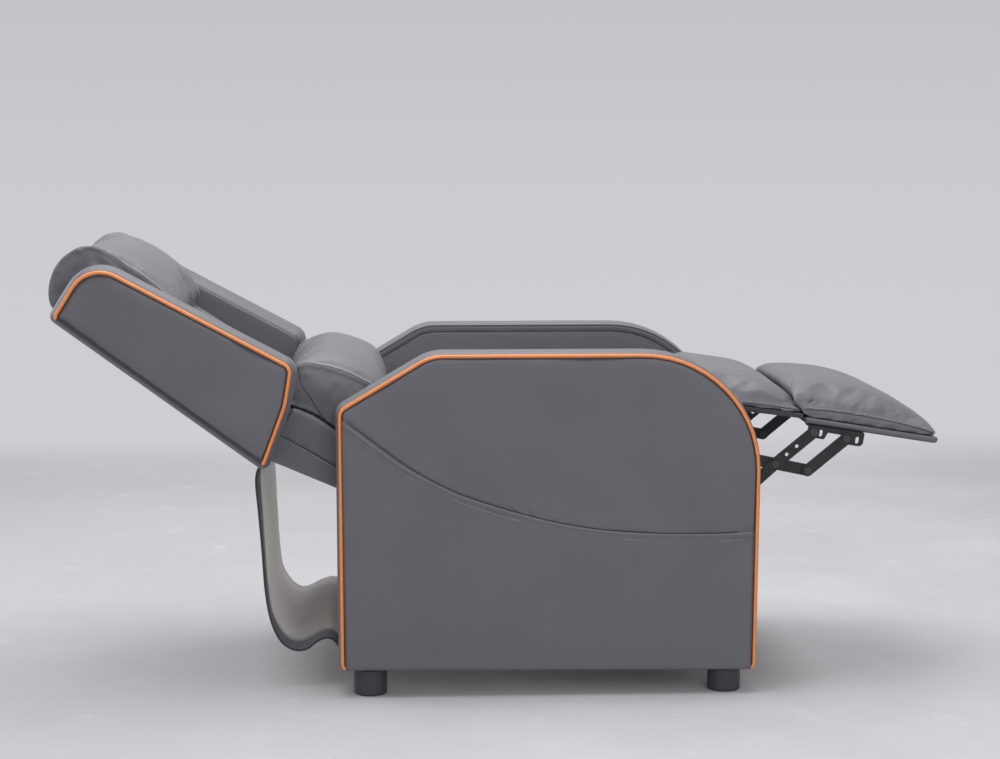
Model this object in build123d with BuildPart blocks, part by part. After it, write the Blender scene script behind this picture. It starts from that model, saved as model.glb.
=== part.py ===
# A padded push-back recliner, shown fully reclined with its footrest out, as separate pieces.
# Millimetres, X to the front, Y to the sitter's left, Z up, the origin on the floor under the middle.
import math
import os

from build123d import *

# Whole chair
inner_half = 265.0
arm_thickness = 85.0
floor_gap = 52.0
soft_gap = 0.3
cut_over = 2.0

# Arms: the outline runs through these corners, each rounded
arm_rear = -290.0
arm_front = 485.0
arm_toe = 478.0
arm_height = 640.0
slant_foot_height = 531.0
slant_top_x = -112.0
arm_corner_radius = 18.0
slant_top_radius = 70.0
arm_front_radius = 212.0
arm_hem_radius = 6.0
side_layer = 7.0

# Lower cover that laps the outside of each arm
cover_thickness = 1.5
cover_rear_height = 526.0
cover_dip_x = 60.0
cover_dip_height = 339.0
cover_front_height = 306.0

# Piping
piping_radius = 4.0

# Feet
foot_radius = 31.0
foot_chamfer = 3.0
foot_rear_x = -236.0
foot_front_x = 430.0
foot_inset = 45.0
foot_plate_thickness = 4.0
foot_plate_radius = 26.0

# Back: its own frame has u up along the back from the pivot and v out to the sitter
pivot_x = -222.0
pivot_z = 343.0
back_slope = 36.2
back_rear = 49.0
shell_thickness = 10.0
wing_rear_low = 221.0
wing_front_low = 289.0
wing_rear_top = 684.0
wing_front_top = 697.0
wing_depth_low = 136.0
wing_depth_top = 68.0
wing_low_radius = 22.0
wing_top_radius = 45.0
wing_heel_radius = 9.0
wing_crest_radius = 6.0

# Lower box of the back, between the arms
box_low = 80.0
box_top = 238.0
box_heel = 232.0
box_low_rear = 11.0
box_front = 58.0
box_half = 261.0
box_band_depth = 3.0
box_band_height = 33.0

# Wooden back frame
frame_thickness = 36.0
stile_width = 40.0
frame_top = 690.0
rail_height = 48.0
mid_rail_centre = 460.0
web_thickness = 2.0
web_width = 50.0
web_count = 4

# Back pad, lumbar cushion and head cushion
pad_half = 262.0
pad_over_frame = 4.0
pad_top = frame_top + pad_over_frame
pad_crown = 30.0
lumbar_crown_u = 150.0
lumbar_foot_u = 104.0
lumbar_low = 92.0
lumbar_high = 288.0
lumbar_depth = 166.0
head_overhang = 55.0
head_lap = 196.0
head_top = pad_top + head_overhang
head_low = pad_top - head_lap
head_depth = 76.0
head_wrap = 55.0
head_edge_height = 30.0
channel_gap = 2.0
pad_channel_low = lumbar_high + channel_gap
pad_channel_high = head_low + channel_gap

# Seat
seat_rear = 2.0
seat_front = 383.0
seat_base = 462.0
seat_thickness = 92.0
seat_crown = 20.0
seat_half = 261.0
board_thickness = 18.0
seat_rail_depth = 44.0
seat_front_rail_height = 70.0
seat_front_rail_top = 498.0
front_notch = 16.0
notch_gap = 6.0
side_rail_offset = 205.0

# Base rails
rail_board_height = 96.0
front_rail_x = 428.0
rear_rail_x = -288.0
rail_board_bottom = 60.0

# Linkage: steel strips in two layers beside each arm
strip = 4.0
strip_width = 22.0
plate_thickness = 3.0
layer_gap = 0.5
rivet_radius = 4.0
rivet_head_radius = 7.0
rivet_head_height = 2.4
running_gap = 0.05
open_gap = 0.5
loose_gap = 1.6
hole_radius = 3.6
long_hole_shares = (0.3, 0.56)
drive_pivot = (310.0, 388.0)
control_offset = (40.0, 42.0)
drive_reach = (176.0, -7.0)
long_low_reach = (45.0, 40.0)
long_high_reach = (73.0, 60.0)
cross_reach = (62.0, -13.0)
cross_tail_share = 0.953
rod_radius = 8.0
rod_share = 0.6
base_plate_margin = 26.0
base_plate_tail = 14.0
plate_corner = 6.0
plate_waist = 24.0
screw_radius = 2.5
screw_head_radius = 5.0
screw_head_height = 1.8
screw_length = 25.0

# Recline pivot
recline_plate_half = 40.0
recline_pin_radius = 6.0
recline_pin_head = 10.0
recline_boss_radius = 16.0
bracket_flange = 4.0
bracket_flange_depth = 46.0
bracket_foot_half = 10.0

# Footrest
rest_rear = 590.0
rest_front = 840.0
rest_rear_z = 496.0
rest_drop = 40.0
rest_board = 12.0
rest_half = 249.5
rest_crown = 70.0
bracket_tail = 34.0
bracket_slot = 13.0
bracket_slot_width = 7.0
bracket_corner = 9.0
bracket_bend = 2.0
flange_width = 34.0

# Leg pad between the seat and the footrest
leg_hinge = (424.0, 492.0)
leg_rear = 396.0
leg_front = 584.5
leg_rear_z = 531.0
leg_front_z = 506.0
leg_board = 8.0
leg_crown = 62.0
hinge_offset = 150.0
hinge_width = 22.0
hinge_gap = 0.6

# Cloth
cloth = 3.0
curtain_half = 258.0
curtain_hang = (-424.0, 172.0)
curtain_belly = (-369.0, 73.0)
curtain_hump = (-314.0, 96.0)
curtain_wave = 5.0
apron_half = 240.0
apron_inset = 4.5
apron_lift = 165.0
apron_dip = (-100.0, 527.0)
apron_bend = 20.0

# Pillow stations along the width, and how full the section is at each
station_shares = (-1.0, -0.94, -0.8, -0.45, 0.0, 0.45, 0.8, 0.94, 1.0)
fullness_shares = (0.2, 0.52, 0.8, 0.96, 1.0, 0.96, 0.8, 0.52, 0.2)
block_fullness_shares = (0.66, 0.76, 0.88, 0.97, 1.0, 0.97, 0.88, 0.76, 0.66)

# Sections of the padding: places as shares of each piece's own depth or length and of its height
seat_side_share = 0.72
lumbar_end_shares = ((0.2, 0.0), (0.03, 0.22), (0.0, 0.52), (0.26, 0.86))
lumbar_chin_shares = ((0.12, 0.93), (0.0, 0.7), (-0.02, 0.35))
head_top_shares = ((0.18, 0.6), (0.12, 0.45), (0.55, 0.82), (1.5, 1.0))
head_end_shares = ((0.8, 0.9), (0.05, 0.5), (0.1, 0.0))
rest_pad_shares = ((1.0, 0.05), (0.82, 0.45), (0.55, 0.72), (0.28, 0.84), (0.048, 0.66), (0.01, 0.3))
leg_pad_shares = ((1.0, 0.2), (0.8, 0.6), (0.5, 0.87), (0.24, 0.95), (0.0, 0.75), (0.019, 0.2))
pad_lip_share = 0.25
recline_screw_share = 0.7
slot_shares = (1.3, 2.0)
screw_shares = (0.15, 0.5, 0.85)
curtain_root_share = 0.03
swing_shares = (1.0, 0.3, -0.8, 0.2, 0.9, 0.1, -0.7, 0.3, 1.0)

SIDES = {"right": -1, "left": 1}
os.makedirs("parts", exist_ok=True)


def write(builder, label):
    """Labels a finished piece and writes it under its own name."""
    builder.part.label = label
    export_step(builder.part, f"parts/{label}.step")


def upright_plane(y):
    """The side-view plane at a given width: its x is X and its y is Z."""
    return Plane(origin=(0, y, 0), x_dir=(1, 0, 0), z_dir=(0, -1, 0))


slope = math.radians(back_slope)
u_dir = (-math.cos(slope), 0, math.sin(slope))


def back_plane(y):
    """The back's own side-view plane: its x is u, up the back, and its y is v."""
    return Plane(origin=(pivot_x, y, pivot_z), x_dir=u_dir, z_dir=(0, 1, 0))


def inset(points, distance):
    """Moves each edge of a closed outline inwards by a distance, whichever way it runs."""
    area = 0
    for (x0, y0), (x1, y1) in zip(points, points[1:] + points[:1]):
        area += x0 * y1 - x1 * y0
    turn = math.copysign(1, area)
    moved = []
    count = len(points)
    for i, (x, y) in enumerate(points):
        before = points[i - 1]
        after = points[(i + 1) % count]
        in_length = math.dist(before, (x, y))
        out_length = math.dist((x, y), after)
        ax = (x - before[0]) / in_length
        ay = (y - before[1]) / in_length
        bx = (after[0] - x) / out_length
        by = (after[1] - y) / out_length
        sine = ax * by - ay * bx
        moved.append((x + turn * distance * (bx - ax) / sine, y + turn * distance * (by - ay) / sine))
    return moved


def slab(plane, points, radii, amount, mode=Mode.ADD):
    """Extrudes a closed outline with rounded corners."""
    with BuildSketch(plane) as face:
        with BuildLine():
            FilletPolyline(*points, radius=radii, close=True)
        make_face()
    extrude(face.sketch, amount=amount, mode=mode)


def prism(plane, points, amount):
    """Extrudes a closed outline with sharp corners."""
    with BuildSketch(plane) as face:
        with BuildLine():
            Polyline(*points, close=True)
        make_face()
    extrude(face.sketch, amount=amount)


def block(plane, x_range, y_range, amount, mode=Mode.ADD):
    """Extrudes a rectangle given by its two ranges on a side-view plane."""
    centre = ((x_range[0] + x_range[1]) / 2, (y_range[0] + y_range[1]) / 2)
    with BuildSketch(plane) as face:
        with Locations(centre):
            Rectangle(x_range[1] - x_range[0], y_range[1] - y_range[0])
    extrude(face.sketch, amount=amount, mode=mode)


def hole(plane, centre, radius, amount):
    """Cuts a round hole square to a side-view plane."""
    with BuildSketch(plane) as face:
        with Locations(centre):
            Circle(radius)
    extrude(face.sketch, amount=amount, both=True, mode=Mode.SUBTRACT)


def disc(plane, centre, radius, amount):
    """Adds a round boss square to a side-view plane."""
    with BuildSketch(plane) as face:
        with Locations(centre):
            Circle(radius)
    extrude(face.sketch, amount=amount)


def piping(plane, points, radii):
    """Sweeps a round bead along an open path with rounded corners."""
    with BuildLine(plane) as path:
        FilletPolyline(*points, radius=radii)
    with BuildSketch(Plane(origin=path.line @ 0, z_dir=path.line % 0)) as ring:
        Circle(piping_radius)
    sweep(ring.sketch, path=path.line)


def loft_stations(plane_at, half, shares, outline):
    """Lofts a soft body through outlines set at stations across its width."""
    faces = []
    for station, fullness in zip(station_shares, shares):
        with BuildSketch(plane_at(station * half)) as face:
            with BuildLine():
                outline(fullness)
            make_face()
        faces.append(face.sketch.faces()[0])
    loft(sections=faces)


def offset(point, reach):
    """The point a reach away from another, in the side view."""
    return (point[0] + reach[0], point[1] + reach[1])


# Pivots of the linkage, and where the steel plates are screwed to the arms
control_pivot = offset(drive_pivot, control_offset)
long_low = offset(drive_pivot, drive_reach)
long_cross = offset(long_low, long_low_reach)
long_high = offset(long_cross, long_high_reach)
plate_x = (drive_pivot[0] - base_plate_margin - base_plate_tail, control_pivot[0] + base_plate_margin)
plate_z = (drive_pivot[1] - base_plate_margin, control_pivot[1] + base_plate_margin)
screw_x = plate_x[0] + plate_corner + screw_head_radius
screw_places = [(screw_x, plate_z[0] + share * (plate_z[1] - plate_z[0])) for share in screw_shares]
screw_reach = recline_screw_share * recline_plate_half
screw_places += [(pivot_x + screw_reach, pivot_z + screw_reach)]
screw_places += [(pivot_x + screw_reach, pivot_z - screw_reach)]

# Arms
arm_corners = [
    (arm_toe, floor_gap),
    (arm_front, arm_height),
    (slant_top_x, arm_height),
    (arm_rear, slant_foot_height),
    (arm_rear + arm_hem_radius, floor_gap),
]
arm_radii = [arm_hem_radius, arm_front_radius, slant_top_radius, arm_corner_radius, arm_hem_radius]
outer_half = inner_half + arm_thickness
layer_half = outer_half - cover_thickness
main_half = layer_half - side_layer
groove = 2 * piping_radius + soft_gap
layer_corners = inset(arm_corners, groove)
layer_corners[0] = (layer_corners[0][0], floor_gap)
layer_corners[-1] = (layer_corners[-1][0], floor_gap)
layer_radii = [arm_hem_radius, arm_front_radius - groove, slant_top_radius - groove]
layer_radii += [arm_corner_radius - groove, arm_hem_radius]
piping_corners = inset(arm_corners, piping_radius)
piping_corners[0] = (piping_corners[0][0], floor_gap)
piping_corners[-1] = (piping_corners[-1][0], floor_gap)
arm_piping_radii = [arm_front_radius - piping_radius, slant_top_radius - piping_radius]
arm_piping_radii += [arm_corner_radius - piping_radius]
piping_half = main_half + piping_radius + soft_gap

for side_name, side in SIDES.items():
    with BuildPart() as arm:
        slab(upright_plane(side * inner_half), arm_corners, arm_radii, -side * (main_half - inner_half))
        slab(upright_plane(side * main_half), layer_corners, layer_radii, -side * (layer_half - main_half))
        for x, z in screw_places:
            hole(upright_plane(side * inner_half), (x, z), screw_radius + running_gap, screw_length)
    write(arm, f"{side_name}_arm")

    lean_share = (cover_front_height - floor_gap) / (arm_height - floor_gap)
    cover_front_x = layer_corners[0][0] + lean_share * (layer_corners[1][0] - layer_corners[0][0])
    with BuildPart() as cover:
        with BuildSketch(upright_plane(side * layer_half)) as face:
            with BuildLine():
                seam_start = (cover_front_x, cover_front_height)
                seam_end = (layer_corners[3][0], cover_rear_height - arm_corner_radius)
                Line(layer_corners[0], seam_start)
                Spline(seam_start, (cover_dip_x, cover_dip_height), seam_end)
                Line(seam_end, layer_corners[4])
                Line(layer_corners[4], layer_corners[0])
            make_face()
        extrude(face.sketch, amount=side * -cover_thickness)
    write(cover, f"{side_name}_arm_lower_cover")

    with BuildPart() as bead:
        piping(upright_plane(side * piping_half), piping_corners, arm_piping_radii)
    write(bead, f"{side_name}_arm_piping")

# Feet
foot_half = outer_half - foot_inset
for end_name, foot_x in (("rear", foot_rear_x), ("front", foot_front_x)):
    for side_name, side in SIDES.items():
        with BuildPart() as foot:
            foot_top = floor_gap - foot_plate_thickness
            with BuildSketch(Plane(origin=(foot_x, side * foot_half, 0))) as face:
                Circle(foot_radius)
            extrude(face.sketch, amount=foot_top)
            chamfer(foot.faces().sort_by(Axis.Z)[0].edges(), foot_chamfer)
            with BuildSketch(Plane(origin=(foot_x, side * foot_half, foot_top))) as face:
                Circle(foot_plate_radius)
            extrude(face.sketch, amount=foot_plate_thickness)
        write(foot, f"{end_name}_{side_name}_foot")

# Base rails
for rail_name, rail_x in (("front", front_rail_x), ("rear", rear_rail_x)):
    with BuildPart() as rail:
        x_range = (rail_x, rail_x + board_thickness)
        z_range = (rail_board_bottom, rail_board_bottom + rail_board_height)
        block(upright_plane(inner_half), x_range, z_range, 2 * inner_half)
    write(rail, f"{rail_name}_base_rail")

# Seat frame and cushion
seat_rear_rail_x = (seat_rear, seat_rear + board_thickness)
seat_front_rail_x = (seat_front + soft_gap, seat_front + soft_gap + board_thickness)
with BuildPart() as seat_rear_rail:
    z_range = (seat_base - seat_rail_depth, seat_base - web_thickness)
    block(upright_plane(inner_half), seat_rear_rail_x, z_range, 2 * inner_half)
write(seat_rear_rail, "seat_rear_rail")
with BuildPart() as seat_front_rail:
    rail_foot = seat_front_rail_top - seat_front_rail_height
    block(upright_plane(inner_half), seat_front_rail_x, (rail_foot, seat_front_rail_top), 2 * inner_half)
    for side in SIDES.values():
        # Each lower corner is notched for the control link
        notch_x = (seat_front_rail_x[0] - cut_over, seat_front_rail_x[1] + cut_over)
        notch_z = (rail_foot - cut_over, control_pivot[1] + strip_width / 2 + notch_gap)
        plane = upright_plane(side * (inner_half - front_notch))
        block(plane, notch_x, notch_z, -side * (front_notch + cut_over), Mode.SUBTRACT)
write(seat_front_rail, "seat_front_rail")
for side_name, side in SIDES.items():
    with BuildPart() as side_rail:
        x_range = (seat_rear_rail_x[1], seat_front_rail_x[0])
        z_range = (seat_base - seat_rail_depth, seat_base - web_thickness)
        block(upright_plane(side * side_rail_offset), x_range, z_range, board_thickness)
    write(side_rail, f"{side_name}_seat_rail")
with BuildPart() as seat_webbing:
    for i in range(web_count):
        share = (i + 1) / (web_count + 1)
        strap_x = seat_rear_rail_x[1] + share * (seat_front_rail_x[0] - seat_rear_rail_x[1])
        x_range = (strap_x - web_width / 2, strap_x + web_width / 2)
        z_range = (seat_base - web_thickness, seat_base)
        block(upright_plane(side_rail_offset), x_range, z_range, 2 * side_rail_offset + board_thickness)
write(seat_webbing, "seat_webbing")


def seat_outline(fullness):
    """The seat cushion's section: flat below, drawn in at its ends and crowned on top."""
    low = seat_base + soft_gap
    side_top = low + seat_thickness * (seat_side_share + (1 - seat_side_share) * fullness)
    crown = side_top + seat_crown * fullness
    middle = (seat_rear + seat_front) / 2
    pull = seat_crown * (1 - fullness)
    rear = seat_rear + pull
    front = seat_front - pull
    Line((rear, low), (front, low))
    ThreePointArc((front, low), (front - seat_crown / 2, (low + side_top) / 2), (front, side_top))
    ThreePointArc((front, side_top), (middle, crown), (rear, side_top))
    ThreePointArc((rear, side_top), (rear + seat_crown / 2, (low + side_top) / 2), (rear, low))


with BuildPart() as seat_cushion:
    loft_stations(upright_plane, seat_half, fullness_shares, seat_outline)
write(seat_cushion, "seat_cushion")

# Wings of the back
wing_corners = [
    (wing_rear_low, -back_rear),
    (wing_rear_top, -back_rear),
    (wing_front_top, wing_depth_top),
    (wing_front_low, wing_depth_low),
]
wing_radii = [wing_heel_radius, wing_crest_radius, wing_top_radius, wing_low_radius]
wing_layer = inset(wing_corners, groove)
wing_layer_radii = [wing_heel_radius, wing_crest_radius, wing_top_radius - groove, wing_low_radius - groove]
wing_path = inset(wing_corners, piping_radius)
wing_path = [wing_path[1], wing_path[2], wing_path[3], wing_path[0]]
wing_path_radii = [wing_top_radius - piping_radius, wing_low_radius - piping_radius]
for side_name, side in SIDES.items():
    with BuildPart() as wing:
        slab(back_plane(side * inner_half), wing_corners, wing_radii, side * (main_half - inner_half))
        layer_depth = side * (outer_half - main_half)
        slab(back_plane(side * main_half), wing_layer, wing_layer_radii, layer_depth)
    write(wing, f"{side_name}_wing")
    with BuildPart() as bead:
        piping(back_plane(side * piping_half), wing_path, wing_path_radii)
    write(bead, f"{side_name}_wing_piping")

# Back frame, rear panel and lower box
frame_rear = -back_rear + shell_thickness + soft_gap
frame_front = frame_rear + frame_thickness
web_front = frame_front + web_thickness
frame_half = inner_half - soft_gap
with BuildPart() as back_rear_panel:
    v_range = (-back_rear, -back_rear + shell_thickness)
    block(back_plane(-frame_half), (box_top, frame_top), v_range, 2 * frame_half)
write(back_rear_panel, "back_rear_panel")
for side_name, side in SIDES.items():
    with BuildPart() as stile:
        v_range = (frame_rear, frame_front)
        block(back_plane(side * frame_half), (box_top, frame_top), v_range, -side * stile_width)
    write(stile, f"{side_name}_back_stile")
rail_half = frame_half - stile_width
rail_lows = {"lower": box_top, "middle": mid_rail_centre - rail_height / 2, "upper": frame_top - rail_height}
for rail_name, low in rail_lows.items():
    with BuildPart() as back_rail:
        block(back_plane(-rail_half), (low, low + rail_height), (frame_rear, frame_front), 2 * rail_half)
    write(back_rail, f"{rail_name}_back_rail")
with BuildPart() as back_webbing:
    for i in range(web_count):
        strap_y = -rail_half + (i + 1) / (web_count + 1) * 2 * rail_half
        block(back_plane(strap_y - web_width / 2), (box_top, frame_top), (frame_front, web_front), web_width)
write(back_webbing, "back_webbing")

box_outline = [
    (box_top, -back_rear),
    (box_heel, -back_rear),
    (box_low, -box_low_rear),
    (box_low, box_front),
    (box_top, box_front),
]
with BuildPart() as back_box:
    prism(back_plane(-box_half), box_outline, 2 * box_half)
    band_outline = [
        (box_heel, -back_rear + box_band_height),
        (box_heel, box_front),
        (box_low, box_front),
        (box_low, box_band_height - box_low_rear),
    ]
    for side in SIDES.values():
        with BuildSketch(back_plane(side * box_half)) as face:
            with BuildLine():
                Polyline(*band_outline, close=True)
            make_face()
        extrude(face.sketch, amount=-side * box_band_depth, mode=Mode.SUBTRACT)
write(back_box, "back_lower_box")

# Back pad, lumbar cushion and head cushion
pad_low = box_top
pad_base = web_front + soft_gap


def pad_outline(fullness):
    """The back pad's section, flat at both ends and crowned between the two loose cushions."""
    crown = ((pad_channel_low + pad_channel_high) / 2, box_front + pad_crown * fullness)
    Line((pad_low, pad_base), (pad_top, pad_base))
    Line((pad_top, pad_base), (pad_top, box_front))
    Line((pad_top, box_front), (pad_channel_high, box_front))
    ThreePointArc((pad_channel_high, box_front), crown, (pad_channel_low, box_front))
    Line((pad_channel_low, box_front), (pad_low, box_front))
    Line((pad_low, box_front), (pad_low, pad_base))


with BuildPart() as back_pad:
    loft_stations(back_plane, pad_half, fullness_shares, pad_outline)
write(back_pad, "back_pad")

cushion_base = box_front + soft_gap


def lumbar_outline(fullness):
    """The lumbar cushion's section: a fat roll that falls away to the back pad above it."""
    depth = lumbar_depth * fullness
    upper = [(lumbar_high - a * lumbar_depth, cushion_base + b * depth) for a, b in lumbar_end_shares]
    lower = [(lumbar_low + a * lumbar_depth, cushion_base + b * depth) for a, b in lumbar_chin_shares]
    crown = (lumbar_crown_u, cushion_base + depth)
    heel = (lumbar_foot_u, cushion_base)
    Line(heel, upper[0])
    ThreePointArc(upper[0], upper[1], upper[2])
    ThreePointArc(upper[2], upper[3], crown)
    ThreePointArc(crown, lower[0], lower[1])
    ThreePointArc(lower[1], lower[2], heel)


with BuildPart() as lumbar_cushion:
    loft_stations(back_plane, pad_half, block_fullness_shares, lumbar_outline)
write(lumbar_cushion, "lumbar_cushion")


def head_outline(fullness):
    """The head cushion's section: it lies on the back pad and wraps over the top of the frame."""
    base = cushion_base
    inner_top = pad_top + soft_gap
    rise = (base + head_depth - head_edge_height) * fullness
    depth = head_edge_height + rise
    corner = (head_top, head_edge_height)
    outer = [(head_top - a * head_depth, head_edge_height + b * rise) for a, b in head_top_shares[1:]]
    nape = (head_top - head_top_shares[0][0] * head_depth, -head_wrap * (1 - head_top_shares[0][1]))
    end = [(head_low + a * head_depth, base + b * (depth - base)) for a, b in head_end_shares]
    Line(end[2], (inner_top, base))
    Line((inner_top, base), (inner_top, -head_wrap))
    ThreePointArc((inner_top, -head_wrap), nape, corner)
    ThreePointArc(corner, outer[0], outer[1])
    ThreePointArc(outer[1], outer[2], end[0])
    ThreePointArc(end[0], end[1], end[2])


with BuildPart() as head_cushion:
    loft_stations(back_plane, pad_half, block_fullness_shares, head_outline)
write(head_cushion, "head_cushion")

# Linkage layers: the outer strips pass the outer face, the inner ones lie beside them
outer_face = inner_half - plate_thickness - layer_gap
inner_face = outer_face - strip - layer_gap
inner_back = inner_face - strip
cross_tail = (cross_tail_share * cross_reach[0], cross_tail_share * cross_reach[1])
cross_high = (long_cross[0] - cross_tail[0], long_cross[1] - cross_tail[1])
cross_low = offset(long_cross, cross_reach)
bracket_front = offset(long_high, cross_reach)
running_hole = rivet_radius + running_gap


def between(a, b, share):
    """The point at a share of the way from one point to another."""
    return (a[0] + share * (b[0] - a[0]), a[1] + share * (b[1] - a[1]))


def bar(side, face, a, b, holes):
    """A steel strip with round ends between two pivots, pierced by holes of given radii."""
    plane = upright_plane(side * (face - strip))
    angle = math.degrees(math.atan2(b[1] - a[1], b[0] - a[0]))
    with BuildSketch(plane) as shape:
        with Locations(Location(((a[0] + b[0]) / 2, (a[1] + b[1]) / 2, 0), (0, 0, angle))):
            SlotCenterToCenter(math.dist(a, b), strip_width)
        for centre, radius in holes:
            with Locations(centre):
                Circle(radius, mode=Mode.SUBTRACT)
    extrude(shape.sketch, amount=-side * strip)


def rivet(side, centre, outside, inside):
    """A rivet whose shank fills its holes, with a flat head on each side of the stack."""
    stud(side, centre, outside, inside)
    disc(upright_plane(side * outside), centre, rivet_head_radius, -side * rivet_head_height)


def stud(side, centre, outside, inside):
    """A rivet set flush in the plate beside the arm, with a flat head on its inner end only."""
    plane = upright_plane(side * inside)
    disc(plane, centre, rivet_radius, -side * (outside - inside))
    disc(plane, centre, rivet_head_radius, side * rivet_head_height)


# Side plates: each runs from the recline pivot to the two pivots of the linkage
plate_face = inner_half - plate_thickness
rear_x = (pivot_x - recline_plate_half, pivot_x + recline_plate_half)
plate_corners = [
    (rear_x[0], pivot_z - recline_plate_half),
    (rear_x[1], pivot_z - recline_plate_half),
    (rear_x[1], pivot_z - plate_waist / 2),
    (plate_x[0], drive_pivot[1] - plate_waist / 2),
    (plate_x[0], plate_z[0]),
    (plate_x[1], plate_z[0]),
    (plate_x[1], plate_z[1]),
    (plate_x[0], plate_z[1]),
    (plate_x[0], drive_pivot[1] + plate_waist / 2),
    (rear_x[1], pivot_z + plate_waist / 2),
    (rear_x[1], pivot_z + recline_plate_half),
    (rear_x[0], pivot_z + recline_plate_half),
]
for side_name, side in SIDES.items():
    with BuildPart() as side_plate:
        plane = upright_plane(side * plate_face)
        slab(plane, plate_corners, [plate_corner] * len(plate_corners), -side * plate_thickness)
        for centre in (drive_pivot, control_pivot):
            hole(plane, centre, rivet_radius, plate_thickness + cut_over)
        hole(plane, (pivot_x, pivot_z), recline_pin_radius, plate_thickness + cut_over)
        for centre in screw_places:
            hole(plane, centre, screw_radius + running_gap, plate_thickness + cut_over)
    write(side_plate, f"{side_name}_side_plate")

    with BuildPart() as drive_link:
        holes = [(drive_pivot, running_hole), (long_low, running_hole)]
        bar(side, inner_face, drive_pivot, long_low, holes)
    write(drive_link, f"{side_name}_drive_link")

    with BuildPart() as long_link:
        holes = [(long_low, rivet_radius), (long_cross, rivet_radius), (long_high, rivet_radius)]
        holes += [(between(long_cross, long_high, share), hole_radius) for share in long_hole_shares]
        bar(side, outer_face, long_low, long_cross, [])
        bar(side, outer_face, long_cross, long_high, [])
        for centre, radius in holes:
            hole(upright_plane(side * outer_face), centre, radius, strip + cut_over)
    write(long_link, f"{side_name}_long_link")

    with BuildPart() as cross_link:
        holes = [(cross_high, rivet_radius), (long_cross, running_hole), (cross_low, rivet_radius)]
        bar(side, inner_face, cross_high, cross_low, holes)
    write(cross_link, f"{side_name}_cross_link")

# The short links of both sides
with BuildPart() as front_links:
    for side in SIDES.values():
        holes = [(cross_low, running_hole), (bracket_front, rivet_radius + open_gap)]
        bar(side, outer_face, cross_low, bracket_front, holes)
write(front_links, "front_links")
with BuildPart() as control_links:
    for side in SIDES.values():
        holes = [(control_pivot, running_hole), (cross_high, rivet_radius + loose_gap)]
        bar(side, outer_face, control_pivot, cross_high, holes)
write(control_links, "control_links")

# Pins fixed in the side plates; the drive link's pin has a shoulder that bridges the outer layer
with BuildPart() as side_plate_pins:
    for side in SIDES.values():
        stud(side, control_pivot, inner_half, outer_face - strip - layer_gap)
        stud(side, drive_pivot, inner_half, inner_back - layer_gap)
        shoulder = plate_face - inner_face - layer_gap
        disc(upright_plane(side * plate_face), drive_pivot, rivet_head_radius, side * shoulder)
        inside = outer_face - strip - layer_gap
        plane = upright_plane(side * inside)
        disc(plane, (pivot_x, pivot_z), recline_pin_radius, -side * (inner_half - inside))
        disc(plane, (pivot_x, pivot_z), recline_pin_head, side * rivet_head_height)
write(side_plate_pins, "side_plate_pins")
with BuildPart() as drive_rod:
    rod_centre = between(drive_pivot, long_low, rod_share)
    disc(upright_plane(inner_back), rod_centre, rod_radius, 2 * inner_back)
write(drive_rod, "drive_rod")
with BuildPart() as long_rivets:
    for side in SIDES.values():
        for centre in (long_low, long_cross, long_high):
            rivet(side, centre, outer_face, inner_back - layer_gap)
write(long_rivets, "long_link_rivets")
with BuildPart() as cross_rivets:
    for side in SIDES.values():
        rivet(side, cross_high, outer_face + layer_gap, inner_back)
        rivet(side, cross_low, outer_face + layer_gap, inner_back)
write(cross_rivets, "cross_link_rivets")
with BuildPart() as bracket_rivets:
    for side in SIDES.values():
        rivet(side, bracket_front, outer_face + layer_gap, inner_back)
write(bracket_rivets, "footrest_bracket_rivets")

# Screws that hold the plates to the arms
with BuildPart() as plate_screws:
    for side in SIDES.values():
        plane = upright_plane(side * plate_face)
        for centre in screw_places:
            disc(plane, centre, screw_head_radius, side * screw_head_height)
            disc(plane, centre, screw_radius, -side * (screw_length - plate_thickness))
write(plate_screws, "plate_screws")

# Footrest: its own frame runs from its rear lower edge down its slope
rest_length = math.hypot(rest_front - rest_rear, rest_drop)
rest_dir = ((rest_front - rest_rear) / rest_length, -rest_drop / rest_length)


def rest_plane(y):
    """The footrest's side-view plane: its x runs to the toe and its y is square to the board."""
    return Plane(origin=(rest_rear, y, rest_rear_z), x_dir=(rest_dir[0], 0, rest_dir[1]), z_dir=(0, -1, 0))


def on_rest(point):
    """A point of the side view in the footrest's frame."""
    dx = point[0] - rest_rear
    dz = point[1] - rest_rear_z
    return (dx * rest_dir[0] + dz * rest_dir[1], -dx * rest_dir[1] + dz * rest_dir[0])


with BuildPart() as footrest_board:
    block(rest_plane(rest_half), (0, rest_length), (0, rest_board), 2 * rest_half)
write(footrest_board, "footrest_board")

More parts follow.
